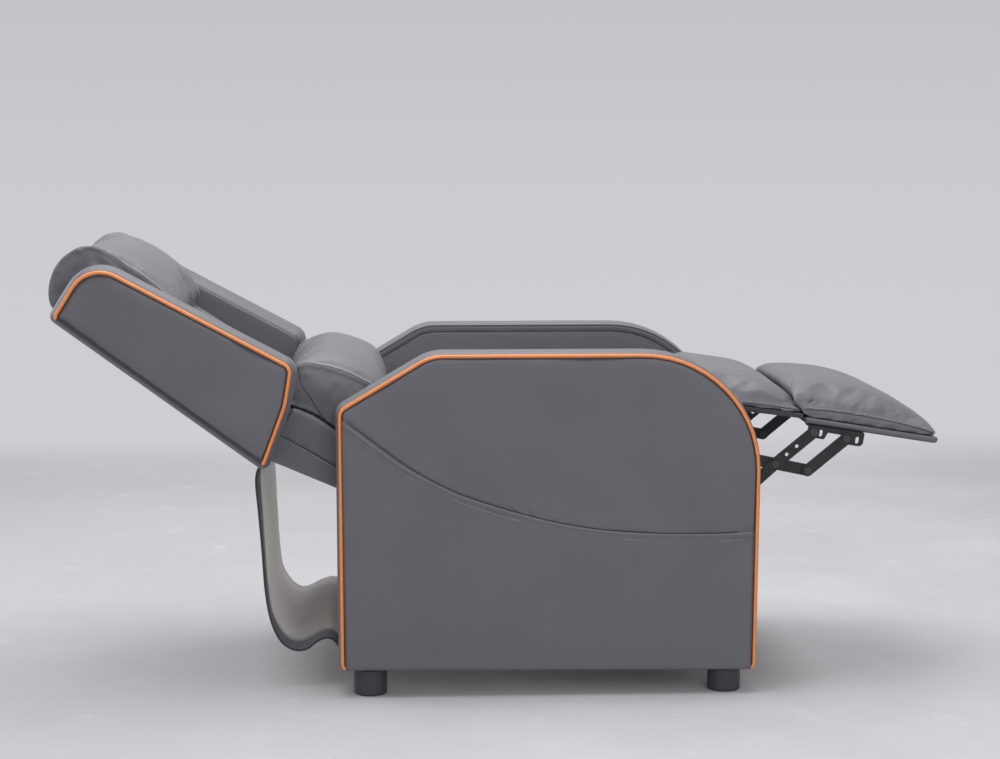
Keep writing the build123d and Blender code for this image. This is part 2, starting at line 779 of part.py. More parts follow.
rear_ear = on_rest(long_high)
front_ear = on_rest(bracket_front)
ear = strip_width / 2
for side_name, side in SIDES.items():
    with BuildPart() as bracket:
        start = rear_ear[0] - ear
        end = front_ear[0] + bracket_tail
        outline = [
            (start, -soft_gap),
            (start, rear_ear[1] - ear),
            (rear_ear[0] + 2 * ear, rear_ear[1] - ear),
            (rear_ear[0] + 2 * ear + ear / 2, rear_ear[1] + ear / 4),
            (front_ear[0] - ear, front_ear[1] + ear / 2),
            (front_ear[0], front_ear[1] - ear),
            (end, front_ear[1] - ear),
            (end, -soft_gap),
        ]
        radii = [bracket_bend, bracket_bend, bracket_bend, bracket_bend]
        radii += [bracket_bend, bracket_corner, bracket_corner, bracket_bend]
        slab(rest_plane(side * (inner_face - strip)), outline, radii, -side * strip)
        flange = (-soft_gap - plate_thickness, -soft_gap)
        block(rest_plane(side * (inner_back - flange_width)), (start, end), flange, -side * flange_width)
        plane = rest_plane(side * inner_face)
        hole(plane, rear_ear, running_hole, strip + cut_over)
        hole(plane, front_ear, rivet_radius, strip + cut_over)
        slot_rear = (rear_ear[0] + slot_shares[0] * ear, rear_ear[1])
        slot_front = (front_ear[0] + slot_shares[1] * ear, front_ear[1])
        for centre in (slot_rear, slot_front):
            with BuildSketch(plane) as shape:
                with Locations(centre):
                    SlotOverall(bracket_slot, bracket_slot_width, rotation=90)
            extrude(shape.sketch, amount=strip + cut_over, both=True, mode=Mode.SUBTRACT)
    write(bracket, f"{side_name}_footrest_bracket")


def padded_outline(length, board, crown, fullness, shares):
    """A pad's section on its board, from the front end over the crown to the rear end."""
    low = board + soft_gap
    lip = low + pad_lip_share * crown
    front = length - soft_gap
    points = [(soft_gap + a * (front - soft_gap), lip + b * crown * fullness) for a, b in shares]
    Line((soft_gap, low), (front, low))
    Line((front, low), points[0])
    ThreePointArc(points[0], points[1], points[2])
    ThreePointArc(points[2], points[3], points[4])
    ThreePointArc(points[4], points[5], (soft_gap, low))


def rest_outline(fullness):
    """The footrest pad's section: steep behind, full in the middle, thin at the toe."""
    padded_outline(rest_length, rest_board, rest_crown, fullness, rest_pad_shares)


with BuildPart() as footrest_pad:
    loft_stations(rest_plane, rest_half, fullness_shares, rest_outline)
write(footrest_pad, "footrest_pad")

# Leg pad, hinged under its rear end to the front rail of the seat
leg_length = math.hypot(leg_front - leg_rear, leg_rear_z - leg_front_z)
leg_dir = ((leg_front - leg_rear) / leg_length, (leg_front_z - leg_rear_z) / leg_length)


def leg_plane(y):
    """The leg pad's side-view plane: its x runs forward and its y is square to its board."""
    return Plane(origin=(leg_rear, y, leg_rear_z), x_dir=(leg_dir[0], 0, leg_dir[1]), z_dir=(0, -1, 0))


def on_leg(point):
    """A point of the side view in the leg pad's frame."""
    dx = point[0] - leg_rear
    dz = point[1] - leg_rear_z
    return (dx * leg_dir[0] + dz * leg_dir[1], -dx * leg_dir[1] + dz * leg_dir[0])


with BuildPart() as leg_pad_board:
    block(leg_plane(rest_half), (0, leg_length), (0, leg_board), 2 * rest_half)
write(leg_pad_board, "leg_pad_board")


def leg_outline(fullness):
    """The leg pad's section: fullest behind, falling to the crease at the footrest."""
    padded_outline(leg_length, leg_board, leg_crown, fullness, leg_pad_shares)


with BuildPart() as leg_pad:
    loft_stations(leg_plane, rest_half, fullness_shares, leg_outline)
write(leg_pad, "leg_pad")

hinge_at = on_leg(leg_hinge)
half_width = hinge_width / 2
with BuildPart() as leg_pad_hinges:
    for side in SIDES.values():
        plane = leg_plane(side * (hinge_offset + strip + hinge_gap))
        tab = [
            (hinge_at[0] - half_width, hinge_at[1]),
            (hinge_at[0] + half_width, hinge_at[1]),
            (hinge_at[0] + 2 * hinge_width, 0),
            (hinge_at[0] - half_width, 0),
        ]
        prism(plane, tab, -side * strip)
        disc(plane, hinge_at, half_width, -side * strip)
        hole(plane, hinge_at, running_hole, 2 * strip)
write(leg_pad_hinges, "leg_pad_hinges")
with BuildPart() as seat_hinge_ears:
    for side in SIDES.values():
        plane = upright_plane(side * hinge_offset)
        z_range = (leg_hinge[1] - half_width, leg_hinge[1] + half_width / 2)
        block(plane, (seat_front_rail_x[1], leg_hinge[0]), z_range, -side * strip)
        disc(plane, leg_hinge, half_width, -side * strip)
        rivet(side, leg_hinge, hinge_offset + 2 * strip + 2 * hinge_gap, hinge_offset)
write(seat_hinge_ears, "seat_hinge_ears")

# Brackets under the box of the back, which turn on the recline pins
with BuildPart() as recline_brackets:
    for side in SIDES.values():
        plane = back_plane(side * (outer_face - strip))
        web = [
            (0, -recline_boss_radius),
            (box_low, -bracket_foot_half),
            (box_low, bracket_flange_depth - bracket_foot_half),
            (0, recline_boss_radius),
        ]
        prism(plane, web, side * strip)
        disc(plane, (0, 0), recline_boss_radius, side * strip)
        u_range = (box_low - bracket_flange, box_low)
        v_range = (-bracket_foot_half, bracket_flange_depth - bracket_foot_half)
        plane = back_plane(side * (outer_face - strip - bracket_flange_depth))
        block(plane, u_range, v_range, side * bracket_flange_depth)
        plane = upright_plane(side * outer_face)
        hole(plane, (pivot_x, pivot_z), recline_pin_radius + running_gap, 2 * strip)
write(recline_brackets, "recline_brackets")


def ribbon(points, thickness):
    """Outlines a strip of cloth along arcs that share their end points: start, middle, end, middle, end."""
    sides = []
    for way in (-1, 1):
        moved = []
        for i, (x, y) in enumerate(points):
            before = points[max(i - 1, 0)]
            after = points[min(i + 1, len(points) - 1)]
            length = math.dist(before, after)
            nx = -(after[1] - before[1]) / length
            ny = (after[0] - before[0]) / length
            moved.append((x + way * nx * thickness / 2, y + way * ny * thickness / 2))
        sides.append(moved)
    near, far = sides
    for i in range(0, len(near) - 2, 2):
        ThreePointArc(near[i], near[i + 1], near[i + 2])
    Line(near[-1], far[-1])
    for i in range(len(far) - 1, 1, -2):
        ThreePointArc(far[i], far[i - 1], far[i - 2])
    Line(far[0], near[0])


def in_room(u, v):
    """The side-view place of a point given in the back's own frame."""
    x = pivot_x - u * math.cos(slope) + v * math.sin(slope)
    return (x, pivot_z + u * math.sin(slope) + v * math.cos(slope))


# Rear curtain: it hangs from the heel of the back and comes up to the rear base rail
root = in_room(*between((box_heel, -back_rear), (box_low, -box_low_rear), curtain_root_share))
root = (root[0], root[1] - cloth / 3)
hem = (rear_rail_x - cloth / 2 - soft_gap, rail_board_bottom + 2 * cloth)
with BuildPart() as rear_curtain:
    faces = []
    for station, swing_share in zip(station_shares, swing_shares):
        swing = curtain_wave * swing_share
        hang = (curtain_hang[0] + swing, curtain_hang[1])
        belly = (curtain_belly[0] + swing, curtain_belly[1])
        hump = (curtain_hump[0], curtain_hump[1] + swing)
        fall = between(root, hang, 0.5)
        turn = between(hang, belly, 0.5)
        rise = between(belly, hump, 0.5)
        tuck = between(hump, hem, 0.5)
        points = [
            root,
            (fall[0] - curtain_wave, fall[1]),
            hang,
            (turn[0] - 2 * curtain_wave, turn[1] - 3 * curtain_wave),
            belly,
            (rise[0] + curtain_wave, rise[1] - curtain_wave),
            hump,
            (tuck[0] + curtain_wave / 2, tuck[1] + curtain_wave),
            hem,
        ]
        with BuildSketch(upright_plane(station * curtain_half)) as face:
            with BuildLine():
                ribbon(points, cloth)
            make_face()
        faces.append(face.sketch.faces()[0])
    loft(sections=faces, ruled=True)
write(rear_curtain, "rear_curtain")

# Apron: it runs from the box of the back, under the lumbar cushion, to the rear rail of the seat
with BuildPart() as seat_apron:
    tail = seat_rear - cloth / 2 - soft_gap
    points = [
        in_room(box_low + apron_inset, box_front + cloth / 2),
        in_room(box_low, (box_front + apron_lift) / 2),
        in_room(box_low, apron_lift),
        apron_dip,
        (tail - apron_bend, apron_dip[1] - apron_bend / 2),
        (tail - apron_bend / 4, apron_dip[1] - apron_bend),
        (tail, apron_dip[1] - 2 * apron_bend),
        (tail - cloth / 4, seat_base - web_thickness),
        (tail, seat_base - seat_rail_depth / 2),
    ]
    with BuildSketch(upright_plane(apron_half)) as face:
        with BuildLine():
            ribbon(points, cloth)
        make_face()
    extrude(face.sketch, amount=2 * apron_half)
write(seat_apron, "seat_apron")
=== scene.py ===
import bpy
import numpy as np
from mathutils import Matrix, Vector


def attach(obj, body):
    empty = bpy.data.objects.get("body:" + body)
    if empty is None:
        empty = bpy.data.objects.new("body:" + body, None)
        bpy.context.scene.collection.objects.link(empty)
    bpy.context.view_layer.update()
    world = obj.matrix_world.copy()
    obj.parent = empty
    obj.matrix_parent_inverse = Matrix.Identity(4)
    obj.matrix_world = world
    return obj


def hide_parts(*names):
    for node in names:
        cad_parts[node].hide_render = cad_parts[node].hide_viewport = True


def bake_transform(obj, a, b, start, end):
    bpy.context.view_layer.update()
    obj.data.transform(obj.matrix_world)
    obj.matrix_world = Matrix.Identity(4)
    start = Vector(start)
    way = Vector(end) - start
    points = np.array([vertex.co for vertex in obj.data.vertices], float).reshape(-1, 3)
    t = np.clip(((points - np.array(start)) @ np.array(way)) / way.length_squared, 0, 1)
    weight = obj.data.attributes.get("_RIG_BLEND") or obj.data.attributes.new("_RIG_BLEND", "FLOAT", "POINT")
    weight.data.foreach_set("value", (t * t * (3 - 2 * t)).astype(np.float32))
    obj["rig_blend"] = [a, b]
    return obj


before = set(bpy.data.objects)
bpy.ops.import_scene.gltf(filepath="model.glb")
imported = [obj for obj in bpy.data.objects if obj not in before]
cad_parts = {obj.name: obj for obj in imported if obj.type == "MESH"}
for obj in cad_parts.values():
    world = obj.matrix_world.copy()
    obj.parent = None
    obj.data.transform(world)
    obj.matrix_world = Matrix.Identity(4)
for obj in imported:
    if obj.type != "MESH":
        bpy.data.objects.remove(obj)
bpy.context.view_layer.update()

import math

import bmesh
import bpy
import numpy as np
from bpy.props import FloatProperty, FloatVectorProperty, PointerProperty
from mathutils import Vector, noise
from mathutils.bvhtree import BVHTree
from mathutils.kdtree import KDTree

bl_info = {
    "name": "Piped Recliner",
    "version": (1, 0, 0),
    "blender": (4, 5, 0),
    "location": "View3D > Sidebar > Recliner",
    "description": "Dresses the recliner's frame with piped leather, cushions, cloth and steel",
    "category": "Object",
}

MM = 0.001
SIDES = {"right": -1, "left": 1}
LOOK_PREFIX = "look_"  # the frame's own materials have the finishes' plain names

# Lines are in millimetres. Those of arms, covers and cloths give (x, z) of the room. Those of the
# wings, the box and the cushions on the back give (u, v): u up the back from its pivot, v out to
# the sitter. Those of the two footrest pads give (a, h): along the board and above its lower face.
PIVOT = (-222.0, 343.0)
SLOPE = math.radians(36.2)
OUT_OF_BACK = (math.sin(SLOPE), 0.0, math.cos(SLOPE))

# Arms: corners and radii of the outline, how far inside it the inner face's seam and its row of
# stitches lie, and the lower cover, whose lapped edge follows the seam on the outer panel
ARM_CORNERS = [(486, 43), (493.5, 643), (-124, 643), (-295.5, 541), (-293, 50)]
ARM_RADII = [13, 222, 95, 24, 13]
ARM_SEAM, ARM_ROW = 15, 19.5
LAP_RISE, LAP_FACE = 1.6, 349.6
COVER_SEAM = [(-282, 522), (-223, 476), (-160, 430), (-97, 395), (-46, 373), (60, 340), (159, 318),
              (265, 307), (394, 304), (472.6, 308)]
COVER_INSET = 10.4
COVER_SOLE = (54.0, 47.0)
COVER_REAR_LEAN = 0.0125
COVER_COLUMNS = 120
COVER_ROWS = 26
COVER_FACE, COVER_LAP_FACE, COVER_BACK = 350.3, 350.5, 347.4
COVER_ROW_DROP = 13.5
# The cover's lapped edge and its lower end: (share of the way down, distance from the middle)
COVER_LIP = [(0.0, 347.6), (0.0, 350.0), (0.0005, 351.6), (0.0028, 352.9), (0.0062, 353.3),
             (0.0105, 352.9), (0.0165, 351.5), (0.024, 350.6), (0.034, 350.3)]
COVER_END = [(0.985, 350.2), (0.995, 349.8), (1.0, 349.0), (1.0, 347.6)]

# Wings: as the arms
WING_CORNERS = [(218, -52), (694, -52), (703, 76.5), (286, 135.5), (252, 68)]
WING_RADII = [9, 10, 64, 24, 160]
WING_SEAM, WING_ROW = 8, 12.5
WING_SEAM_FACE = 268

# Round an arm's or wing's edge: (inset of the outline, distance from the middle)
ARM_LEVELS = [(9.5, 265.2), (6, 265.4), (3.2, 267.0), (1.2, 269.8), (0.2, 273.5), (-1.0, 280),
              (-2.1, 292), (-2.7, 304), (-2.6, 315), (-1.7, 326), (-0.4, 334), (1.6, 338.8),
              (4.2, 341.2), (10.4, 341.4), (10.6, 344.4), (11.1, 346.9), (12.9, 348.5),
              (16.5, 349.2)]
WING_LEVELS = [(25, 265.2), (16, 265.3), (10.2, 265.8), (8.2, 268.2), (6.2, 272), (2.6, 279),
               (-1.4, 288), (-5, 299), (-6.8, 310), (-6.5, 319), (-4.6, 328),
               (-1.7, 334.8)] + ARM_LEVELS[11:]
INNER_FACE = 265
WORN_WIDTHS = (267, 340, 348)
# Band of painted shade beside the piping on arms and wings: from and to a distance from the middle
EDGE_SHADE_BAND = (340.6, 348.4)
# In metres, where the outer panel's waves start and how soon they are full; the rest has a share
PANEL_START, PANEL_FADE, INNER_WAVES = 0.3445, 0.003, 0.15

# Piping and welts: inset, distance from the middle, and the welt's radius in metres
PIPING_INSET, PIPING_HALF = 5.5, 345.8
WELT_INSET, WELT_HALF, WELT_RADIUS = 2.2, 266.4, 0.0017

# The back's lower box and what lies on the back; BACK_FACE is where the back pad's face stands
BACK_FACE = 58.3
BOX_CROWN = [(80, 62), (100, 70.5), (146, 73.3), (176, 73.8), (200, 72.0), (226, 66.3),
             (248, BACK_FACE)]
BOX_CORNERS = [(238, -50.0), (80, -13.5)] + BOX_CROWN[:6] + [(238, 61.5)]
BOX_RADII = [3, 9, 9, 14, 40, 40, 40, 20, 2]
BOX_HALF = 261.0
BOX_SIDE_SEAM = [(236, 6), (184.6, 12.3), (145.8, 16.3), (107, 20), (88, 27)]
BOX_LOWER_SEAM = (84, -10)
BOX_ROW_DROP = 4.5
CUSHION_HALF = 262.0
PAD_SEAM_FACE = 254
# How far out the two cushions rest, and up to where the back is under the head cushion
LUMBAR_REST, HEAD_REST, BACK_TOP = 58.7, 58.4, 693.5
LUMBAR_TOP = [(262, 58.7), (281, 84), (288, 118), (287.5, 148), (279, 167), (265, 181), (241, 195),
              (215, 206), (190, 214), (165, 219.5), (141, 221.5), (119, 216), (102, 201), (93, 178),
              (89.5, 148), (89.5, 112), (94, 86), (106, 72)]
LUMBAR_CREASE = [(277, 132), (268, 121), (257, 110), (243, 102.5), (229, 98.5), (214, 91),
                 (194, 83), (174, 77)]
HEAD_TOP = [(694.3, -55), (719, -44), (736, -22), (746, 4), (749, 30), (744.5, 55), (733, 77),
            (709, 96.5), (674, 112.5), (644, 121), (609, 124), (570, 122), (543, 119), (521, 111),
            (506, 97), (500, 78), (503, BACK_FACE)]
REAR_CORNERS = [(238.5, -264.5), (689.5, -264.5), (689.5, 264.5), (238.5, 264.5)]
REAR_RADII, REAR_SEAM, REAR_ROW = [8] * 4, 22, 27
REAR_LEVELS = [(1.0, -39.2), (0.0, -41), (0.0, -45.5), (0.9, -47.8), (3.0, -49.0), (6.5, -49.6)]

# Seat
SEAT_LOW, SEAT_REST, SEAT_HEIGHT, SEAT_REAR, SEAT_FRONT = 462.3, 462.4, 92, 2, 383

# Footrest and leg pad: board from origin towards end, its thickness, and the pad's lines
PAD_HALF, PAD_GAP, PAD_ROW_RISE, PAD_SWELL = 249.5, 0.3, 5, 0.45
REST_ORIGIN, REST_END, REST_BOARD = (590.0, 496.0), (840.0, 456.0), 12.0
REST_TOP = [(252.5, 12.3), (257, 17.5), (257, 24), (251, 30.5), (239, 39), (214, 51.5), (177, 66),
            (133, 77.5), (81, 82.5), (35, 81.5), (5, 79), (-18, 74), (-33, 66), (-39, 56),
            (-35, 45), (-24, 35), (-10, 26), (-1, 19), (1, 12.3)]
REST_TIP = 205
REST_FOLD_HALF = 236.0
REST_CREASE = [(-1, 32), (7.5, 44), (23, 54), (40, 58.7), (65, 61), (88, 60)]
REST_GUSSET = [(-6, 27), (5.5, 29), (46, 31.5), (83, 32), (126, 31), (170, 29.5), (214, 25),
               (250, 18)]
BOARD_CORNERS = [(0, 0.3), (256.5, 0.3), (256.5, 11.9), (0, 11.9)]
LEG_ORIGIN, LEG_END, LEG_BOARD = (396.0, 531.0), (584.5, 506.0), 8.0
LEG_TOP = [(190, 8.3), (199, 10.5), (198, 16), (187, 25), (167, 38), (143, 51), (119, 60.5),
           (92, 65), (45, 66), (10, 66), (-10, 64), (-21, 57), (-22, 47), (-15, 35), (-5, 24),
           (-2, 15), (1, 8.3)]
LEG_GUSSET = [(-8, 16), (2, 16), (80, 16), (130, 17.3), (186, 18), (196, 16)]

# Cloths: the curtain's near and far edges below its root, the width of the painted shade along the near edge
# of its inner face and of that shade's soft border, and the apron's line from box to seat
CURTAIN_NEAR = [(-449, 404), (-447, 340), (-442, 262), (-436, 189), (-424, 128), (-405, 87),
                (-380, 69), (-356, 71), (-337, 86), (-318, 94), (-302, 87), (-290, 66)]
CURTAIN_FAR = [(-438, 404), (-434, 339), (-431, 276), (-427, 196), (-421, 142), (-404, 109),
               (-383, 92), (-362, 94), (-338, 106), (-314, 112), (-300, 104), (-290, 76)]
CURTAIN_HALF, CURTAIN_COLUMNS, CURTAIN_ROWS = 257, 97, 72
CURTAIN_SHADE_WIDTH = 36.0
SHADE_FADE_WIDTH = 26
APRON_ON_BOX = [(84.5, 59.5), (80, 111.5), (80, 165)]
APRON_TO_SEAT = [(-100, 527), (-60, 520), (-12, 499), (0.2, 487), (0.2, 440)]
APRON_HALF, APRON_COLUMNS, APRON_ROWS = 240, 61, 90

# Room, in metres: half width, near edge, where the floor turns up, the turn's radius, wall's top
FLOOR_HALF, FLOOR_NEAR, COVE_START, COVE_RADIUS, WALL_TOP = 12.0, -9.0, 5.6, 1.4, 7.0
# Lamps: place, aim, share of the key lamp's power, width and height
LAMPS = {
    "overhead": ((-0.25, 0.25, 3.0), (-0.1, 0.0, 0.4), 0.70, 3.0, 2.6),
    "rear_fill": ((-2.9, 1.2, 1.5), (-0.4, 0.0, 0.35), 0.16, 1.8, 1.4),
    "front_fill": ((0.9, -4.4, 2.2), (0.0, 0.0, 0.4), 0.30, 2.4, 1.8),
}
CAMERA_PLACE = (-0.2284, -4.650, 1.0766)
CAMERA_TILT = math.radians(83.62)

# Colours of the finishes that have no setting
PLASTIC_BLACK = (0.040, 0.038, 0.046)
STEEL_BLACK, RIVET_BLACK = (0.030, 0.030, 0.033), (0.040, 0.040, 0.043)
RUBBED_STEEL = (0.22, 0.22, 0.23)
# The curtain's backing is paler than its front; its near-white colour is partly painted light, for light
# that does not reach under the back
LINING_WITH_PAINTED_LIGHT, LIGHT_THROUGH = (0.98, 0.95, 0.93), (0.92, 0.90, 0.88)
REAR_CLOTH, BOARD_CLOTH = (0.085, 0.087, 0.095), (0.052, 0.053, 0.060)
STRAP, SOFTWOOD, THREAD = (0.30, 0.26, 0.19), (0.52, 0.37, 0.22), (0.42, 0.425, 0.46)

# The frame's own parts that stay in sight, by finish
NODE_FINISHES = {
    "black_plastic": ["rear_right_foot", "front_right_foot", "rear_left_foot", "front_left_foot"],
    "frame_wood": ["front_base_rail", "rear_base_rail", "seat_rear_rail", "right_seat_rail",
                   "left_seat_rail", "lower_back_rail", "middle_back_rail"],
    "cushion_leather": ["seat_front_rail"],
    "rear_cloth": ["right_back_stile", "left_back_stile", "upper_back_rail"],
    "webbing": ["seat_webbing", "back_webbing"],
    "rivet_steel": ["side_plate_pins", "plate_screws", "long_link_rivets", "cross_link_rivets",
                    "footrest_bracket_rivets"],
    "dark_steel": ["recline_brackets", "right_side_plate", "left_side_plate", "right_drive_link",
                   "left_drive_link", "drive_rod", "right_long_link", "left_long_link",
                   "right_cross_link", "left_cross_link", "front_links", "control_links",
                   "right_footrest_bracket", "left_footrest_bracket", "leg_pad_hinges",
                   "seat_hinge_ears"],
    "wrapped_board": ["leg_pad_board"],
}


# ---------------------------------------------------------------- places and outlines
def in_room(points, y):
    """Side-view points at a width, in metres."""
    points = np.asarray(points, float).reshape(-1, 2)
    y = np.broadcast_to(np.asarray(y, float), (len(points),))
    return np.stack([points[:, 0], y, points[:, 1]], 1) * MM


def in_back(points, y):
    """Points of the back's own side view at a width, in metres."""
    points = np.asarray(points, float).reshape(-1, 2)
    u, v = points[:, 0], points[:, 1]
    x = PIVOT[0] - u * math.cos(SLOPE) + v * math.sin(SLOPE)
    z = PIVOT[1] + u * math.sin(SLOPE) + v * math.cos(SLOPE)
    return in_room(np.stack([x, z], 1), y)


def on_rear(points, v):
    """Points of the back seen from behind, (u, y), at a distance out of the back, in metres."""
    points = np.asarray(points, float).reshape(-1, 2)
    v = np.broadcast_to(np.asarray(v, float), (len(points),))
    return in_back(np.stack([points[:, 0], v], 1), points[:, 1])


def heading(origin, end):
    """The unit direction from one side-view point to another."""
    length = math.dist(origin, end)
    return (end[0] - origin[0]) / length, (end[1] - origin[1]) / length


def along(origin, end):
    """A placing function for a pad whose side view runs from one point towards another."""
    dx, dz = heading(origin, end)

    def place(points, y):
        points = np.asarray(points, float).reshape(-1, 2)
        x = origin[0] + points[:, 0] * dx - points[:, 1] * dz
        z = origin[1] + points[:, 0] * dz + points[:, 1] * dx
        return in_room(np.stack([x, z], 1), y)

    return place


on_footrest = along(REST_ORIGIN, REST_END)
on_leg_pad = along(LEG_ORIGIN, LEG_END)


def inset(points, distance):
    """Moves each edge of a closed outline inwards by a distance, whichever way it runs."""
    area = sum(a[0] * b[1] - b[0] * a[1] for a, b in zip(points, points[1:] + points[:1]))
    turn = math.copysign(1, area)
    moved = []
    for i, (x, y) in enumerate(points):
        before, after = points[i - 1], points[(i + 1) % len(points)]
        lin, lout = math.dist(before, (x, y)), math.dist((x, y), after)
        ax, ay = (x - before[0]) / lin, (y - before[1]) / lin
        bx, by = (after[0] - x) / lout, (after[1] - y) / lout
        sine = ax * by - ay * bx
        moved.append((x + turn * distance * (bx - ax) / sine,
                      y + turn * distance * (by - ay) / sine))
    return moved


def fillet(points, radii, steps=14):
    """A closed outline with rounded corners, each with the same count of samples at any radius."""
    result = []
    for i, radius in enumerate(radii):
        p = Vector(points[i])
        a = (Vector(points[i - 1]) - p).normalized()
        b = (Vector(points[(i + 1) % len(points)]) - p).normalized()
        half = a.angle(b) / 2
        reach = radius / math.tan(half)
        centre = p + (a + b).normalized() * (radius / math.sin(half))
        start, end = p + a * reach - centre, p + b * reach - centre
        first = math.atan2(start.y, start.x)
        sweep = (math.atan2(end.y, end.x) - first + math.pi) % (2 * math.pi) - math.pi
        for k in range(steps + 1):
            at = first + sweep * k / steps
            result.append((centre.x + radius * math.cos(at), centre.y + radius * math.sin(at)))
    return result


def rounded(corners, radii, distance=0.0):
    """An outline with rounded corners, moved inwards by a distance."""
    moved = inset(corners, distance) if distance else corners
    return fillet(moved, [max(r - distance, 1.0) for r in radii])


def ring_line(place, outline, width):
    """An outline as a closed line at a width, in metres."""
    return place(np.array(outline + outline[:1]), width)


def lengths_of(points):
    """The lengths of a path's steps."""
    return np.linalg.norm(np.diff(points, axis=0), axis=1)


def run_of(points):
    """How far along a path each of its points lies."""
    return np.concatenate([[0], np.cumsum(lengths_of(points))])


def even(points, spacing=None, count=None):
    """Samples a path again at even spacing."""
    points = np.asarray(points, float)
    points = points[np.concatenate([[True], lengths_of(points) > 1e-9])]
    run = run_of(points)
    if count is None:
        count = max(3, int(round(run[-1] / spacing)))
    at = np.linspace(0, run[-1], count)
    return np.stack([np.interp(at, run, points[:, i]) for i in range(points.shape[1])], 1)


def straight(a, b, count=10):
    """Points of a straight run, without the last."""
    return [(a[0] + (b[0] - a[0]) * k / count, a[1] + (b[1] - a[1]) * k / count)
            for k in range(count)]


def arc(a, m, b, count=16):
    """Points of the circle through three points, without the last."""
    a, m, b = (np.asarray(p, float) for p in (a, m, b))
    d = 2 * (a[0] * (m[1] - b[1]) + m[0] * (b[1] - a[1]) + b[0] * (a[1] - m[1]))
    sq = [float(p @ p) for p in (a, m, b)]
    cx = (sq[0] * (m[1] - b[1]) + sq[1] * (b[1] - a[1]) + sq[2] * (a[1] - m[1])) / d
    cy = (sq[0] * (b[0] - m[0]) + sq[1] * (a[0] - b[0]) + sq[2] * (m[0] - a[0])) / d
    radius = math.hypot(a[0] - cx, a[1] - cy)
    t0, t1, t2 = (math.atan2(p[1] - cy, p[0] - cx) for p in (a, m, b))
    sweep = (t2 - t0) % (2 * math.pi)
    if (t1 - t0) % (2 * math.pi) > sweep:
        sweep -= 2 * math.pi
    angles = [t0 + sweep * k / count for k in range(count)]
    return [(cx + radius * math.cos(t), cy + radius * math.sin(t)) for t in angles]


def smooth_path(points, count=24):
    """A Catmull-Rom curve through points."""
    p = [np.asarray(q, float) for q in points]
    p = [2 * p[0] - p[1]] + p + [2 * p[-1] - p[-2]]
    result = []
    for i in range(1, len(p) - 2):
        for k in range(count):
            t = k / count
            result.append(0.5 * (2 * p[i] + (p[i + 1] - p[i - 1]) * t
                                 + (2 * p[i - 1] - 5 * p[i] + 4 * p[i + 1] - p[i + 2]) * t * t
                                 + (3 * p[i] - p[i - 1] - 3 * p[i + 1] + p[i + 2]) * t ** 3))
    result.append(p[-2])
    return np.array(result)


def crest(points, count=8):
    """A smooth run through points, without the last."""
    return [tuple(p) for p in smooth_path(points, count)[:-1]]


# ---------------------------------------------------------------- meshes
def put(name, data):
    """A new object in the scene."""
    obj = bpy.data.objects.new(name, data)
    bpy.context.scene.collection.objects.link(obj)
    return obj


def new_mesh(name, points, faces, edges=()):
    """A mesh from rows of points."""
    mesh = bpy.data.meshes.new(name)
    mesh.from_pydata([tuple(map(float, p)) for p in points], list(edges), faces)
    return mesh


def closed_object(name, mesh, material):
    """A smooth object at the origin, with its faces turned outwards."""
    obj = put(name, mesh)
    bm = bmesh.new()
    bm.from_mesh(mesh)
    bmesh.ops.remove_doubles(bm, verts=bm.verts, dist=1e-6)
    bmesh.ops.recalc_face_normals(bm, faces=bm.faces)
    if bm.calc_volume(signed=True) < 0:
        bmesh.ops.reverse_faces(bm, faces=bm.faces)
    bm.to_mesh(mesh)
    bm.free()
    mesh.shade_smooth()
    mesh.materials.append(material)
    return obj


def shell_faces(rings, count):
    """Faces between closed rings of equal count, with a fan at each end."""
    faces = []
    for r in range(rings - 1):
        for k in range(count):
            a, b = r * count + k, r * count + (k + 1) % count
            faces.append((a, b, b + count, a + count))
    last = (rings - 1) * count
    faces += [(rings * count, (k + 1) % count, k) for k in range(count)]
    faces += [(rings * count + 1, last + k, last + (k + 1) % count) for k in range(count)]
    return faces


def grid_faces(rows, count):
    """Faces of a grid of points."""
    return [(r * count + c, r * count + c + 1, (r + 1) * count + c + 1, (r + 1) * count + c)
            for r in range(rows - 1) for c in range(count - 1)]


def grid_rim(rows, count):
    """The points round a grid's border, in order."""
    return (list(range(count)) + [r * count + count - 1 for r in range(1, rows)]
            + [(rows - 1) * count + c for c in range(count - 2, -1, -1)]
            + [r * count for r in range(rows - 2, 0, -1)])


def cap_rings(ring, side, bulge, count):
    """Rings that close an end: they shrink to the middle of the ring and swell out along Y."""
    centre = ring.mean(0)
    rings = []
    for k in range(1, count):
        t = (k / count) ** 1.35
        inner = centre + (1 - t) * (ring - centre)
        depth = np.linalg.norm(ring - inner, axis=1)
        inner[:, 1] = ring[:, 1].mean() + side * bulge * (1 - np.exp(-depth / 0.022))
        rings.append(inner)
    middle = centre.copy()
    middle[1] = ring[:, 1].mean() + side * bulge
    return rings, middle


def capped(name, rings, side, bulges, count, material):
    """A closed shell through rings that run towards a side, with both ends capped and swollen."""
    first, start = cap_rings(rings[0], -side, bulges[0] * MM, count)
    last, end = cap_rings(rings[-1], side, bulges[1] * MM, count)
    rings = first[::-1] + rings + last
    points = np.vstack(rings + [start[None], end[None]])
    mesh = new_mesh(name, points, shell_faces(len(rings), len(rings[0])))
    return closed_object(name, mesh, material)


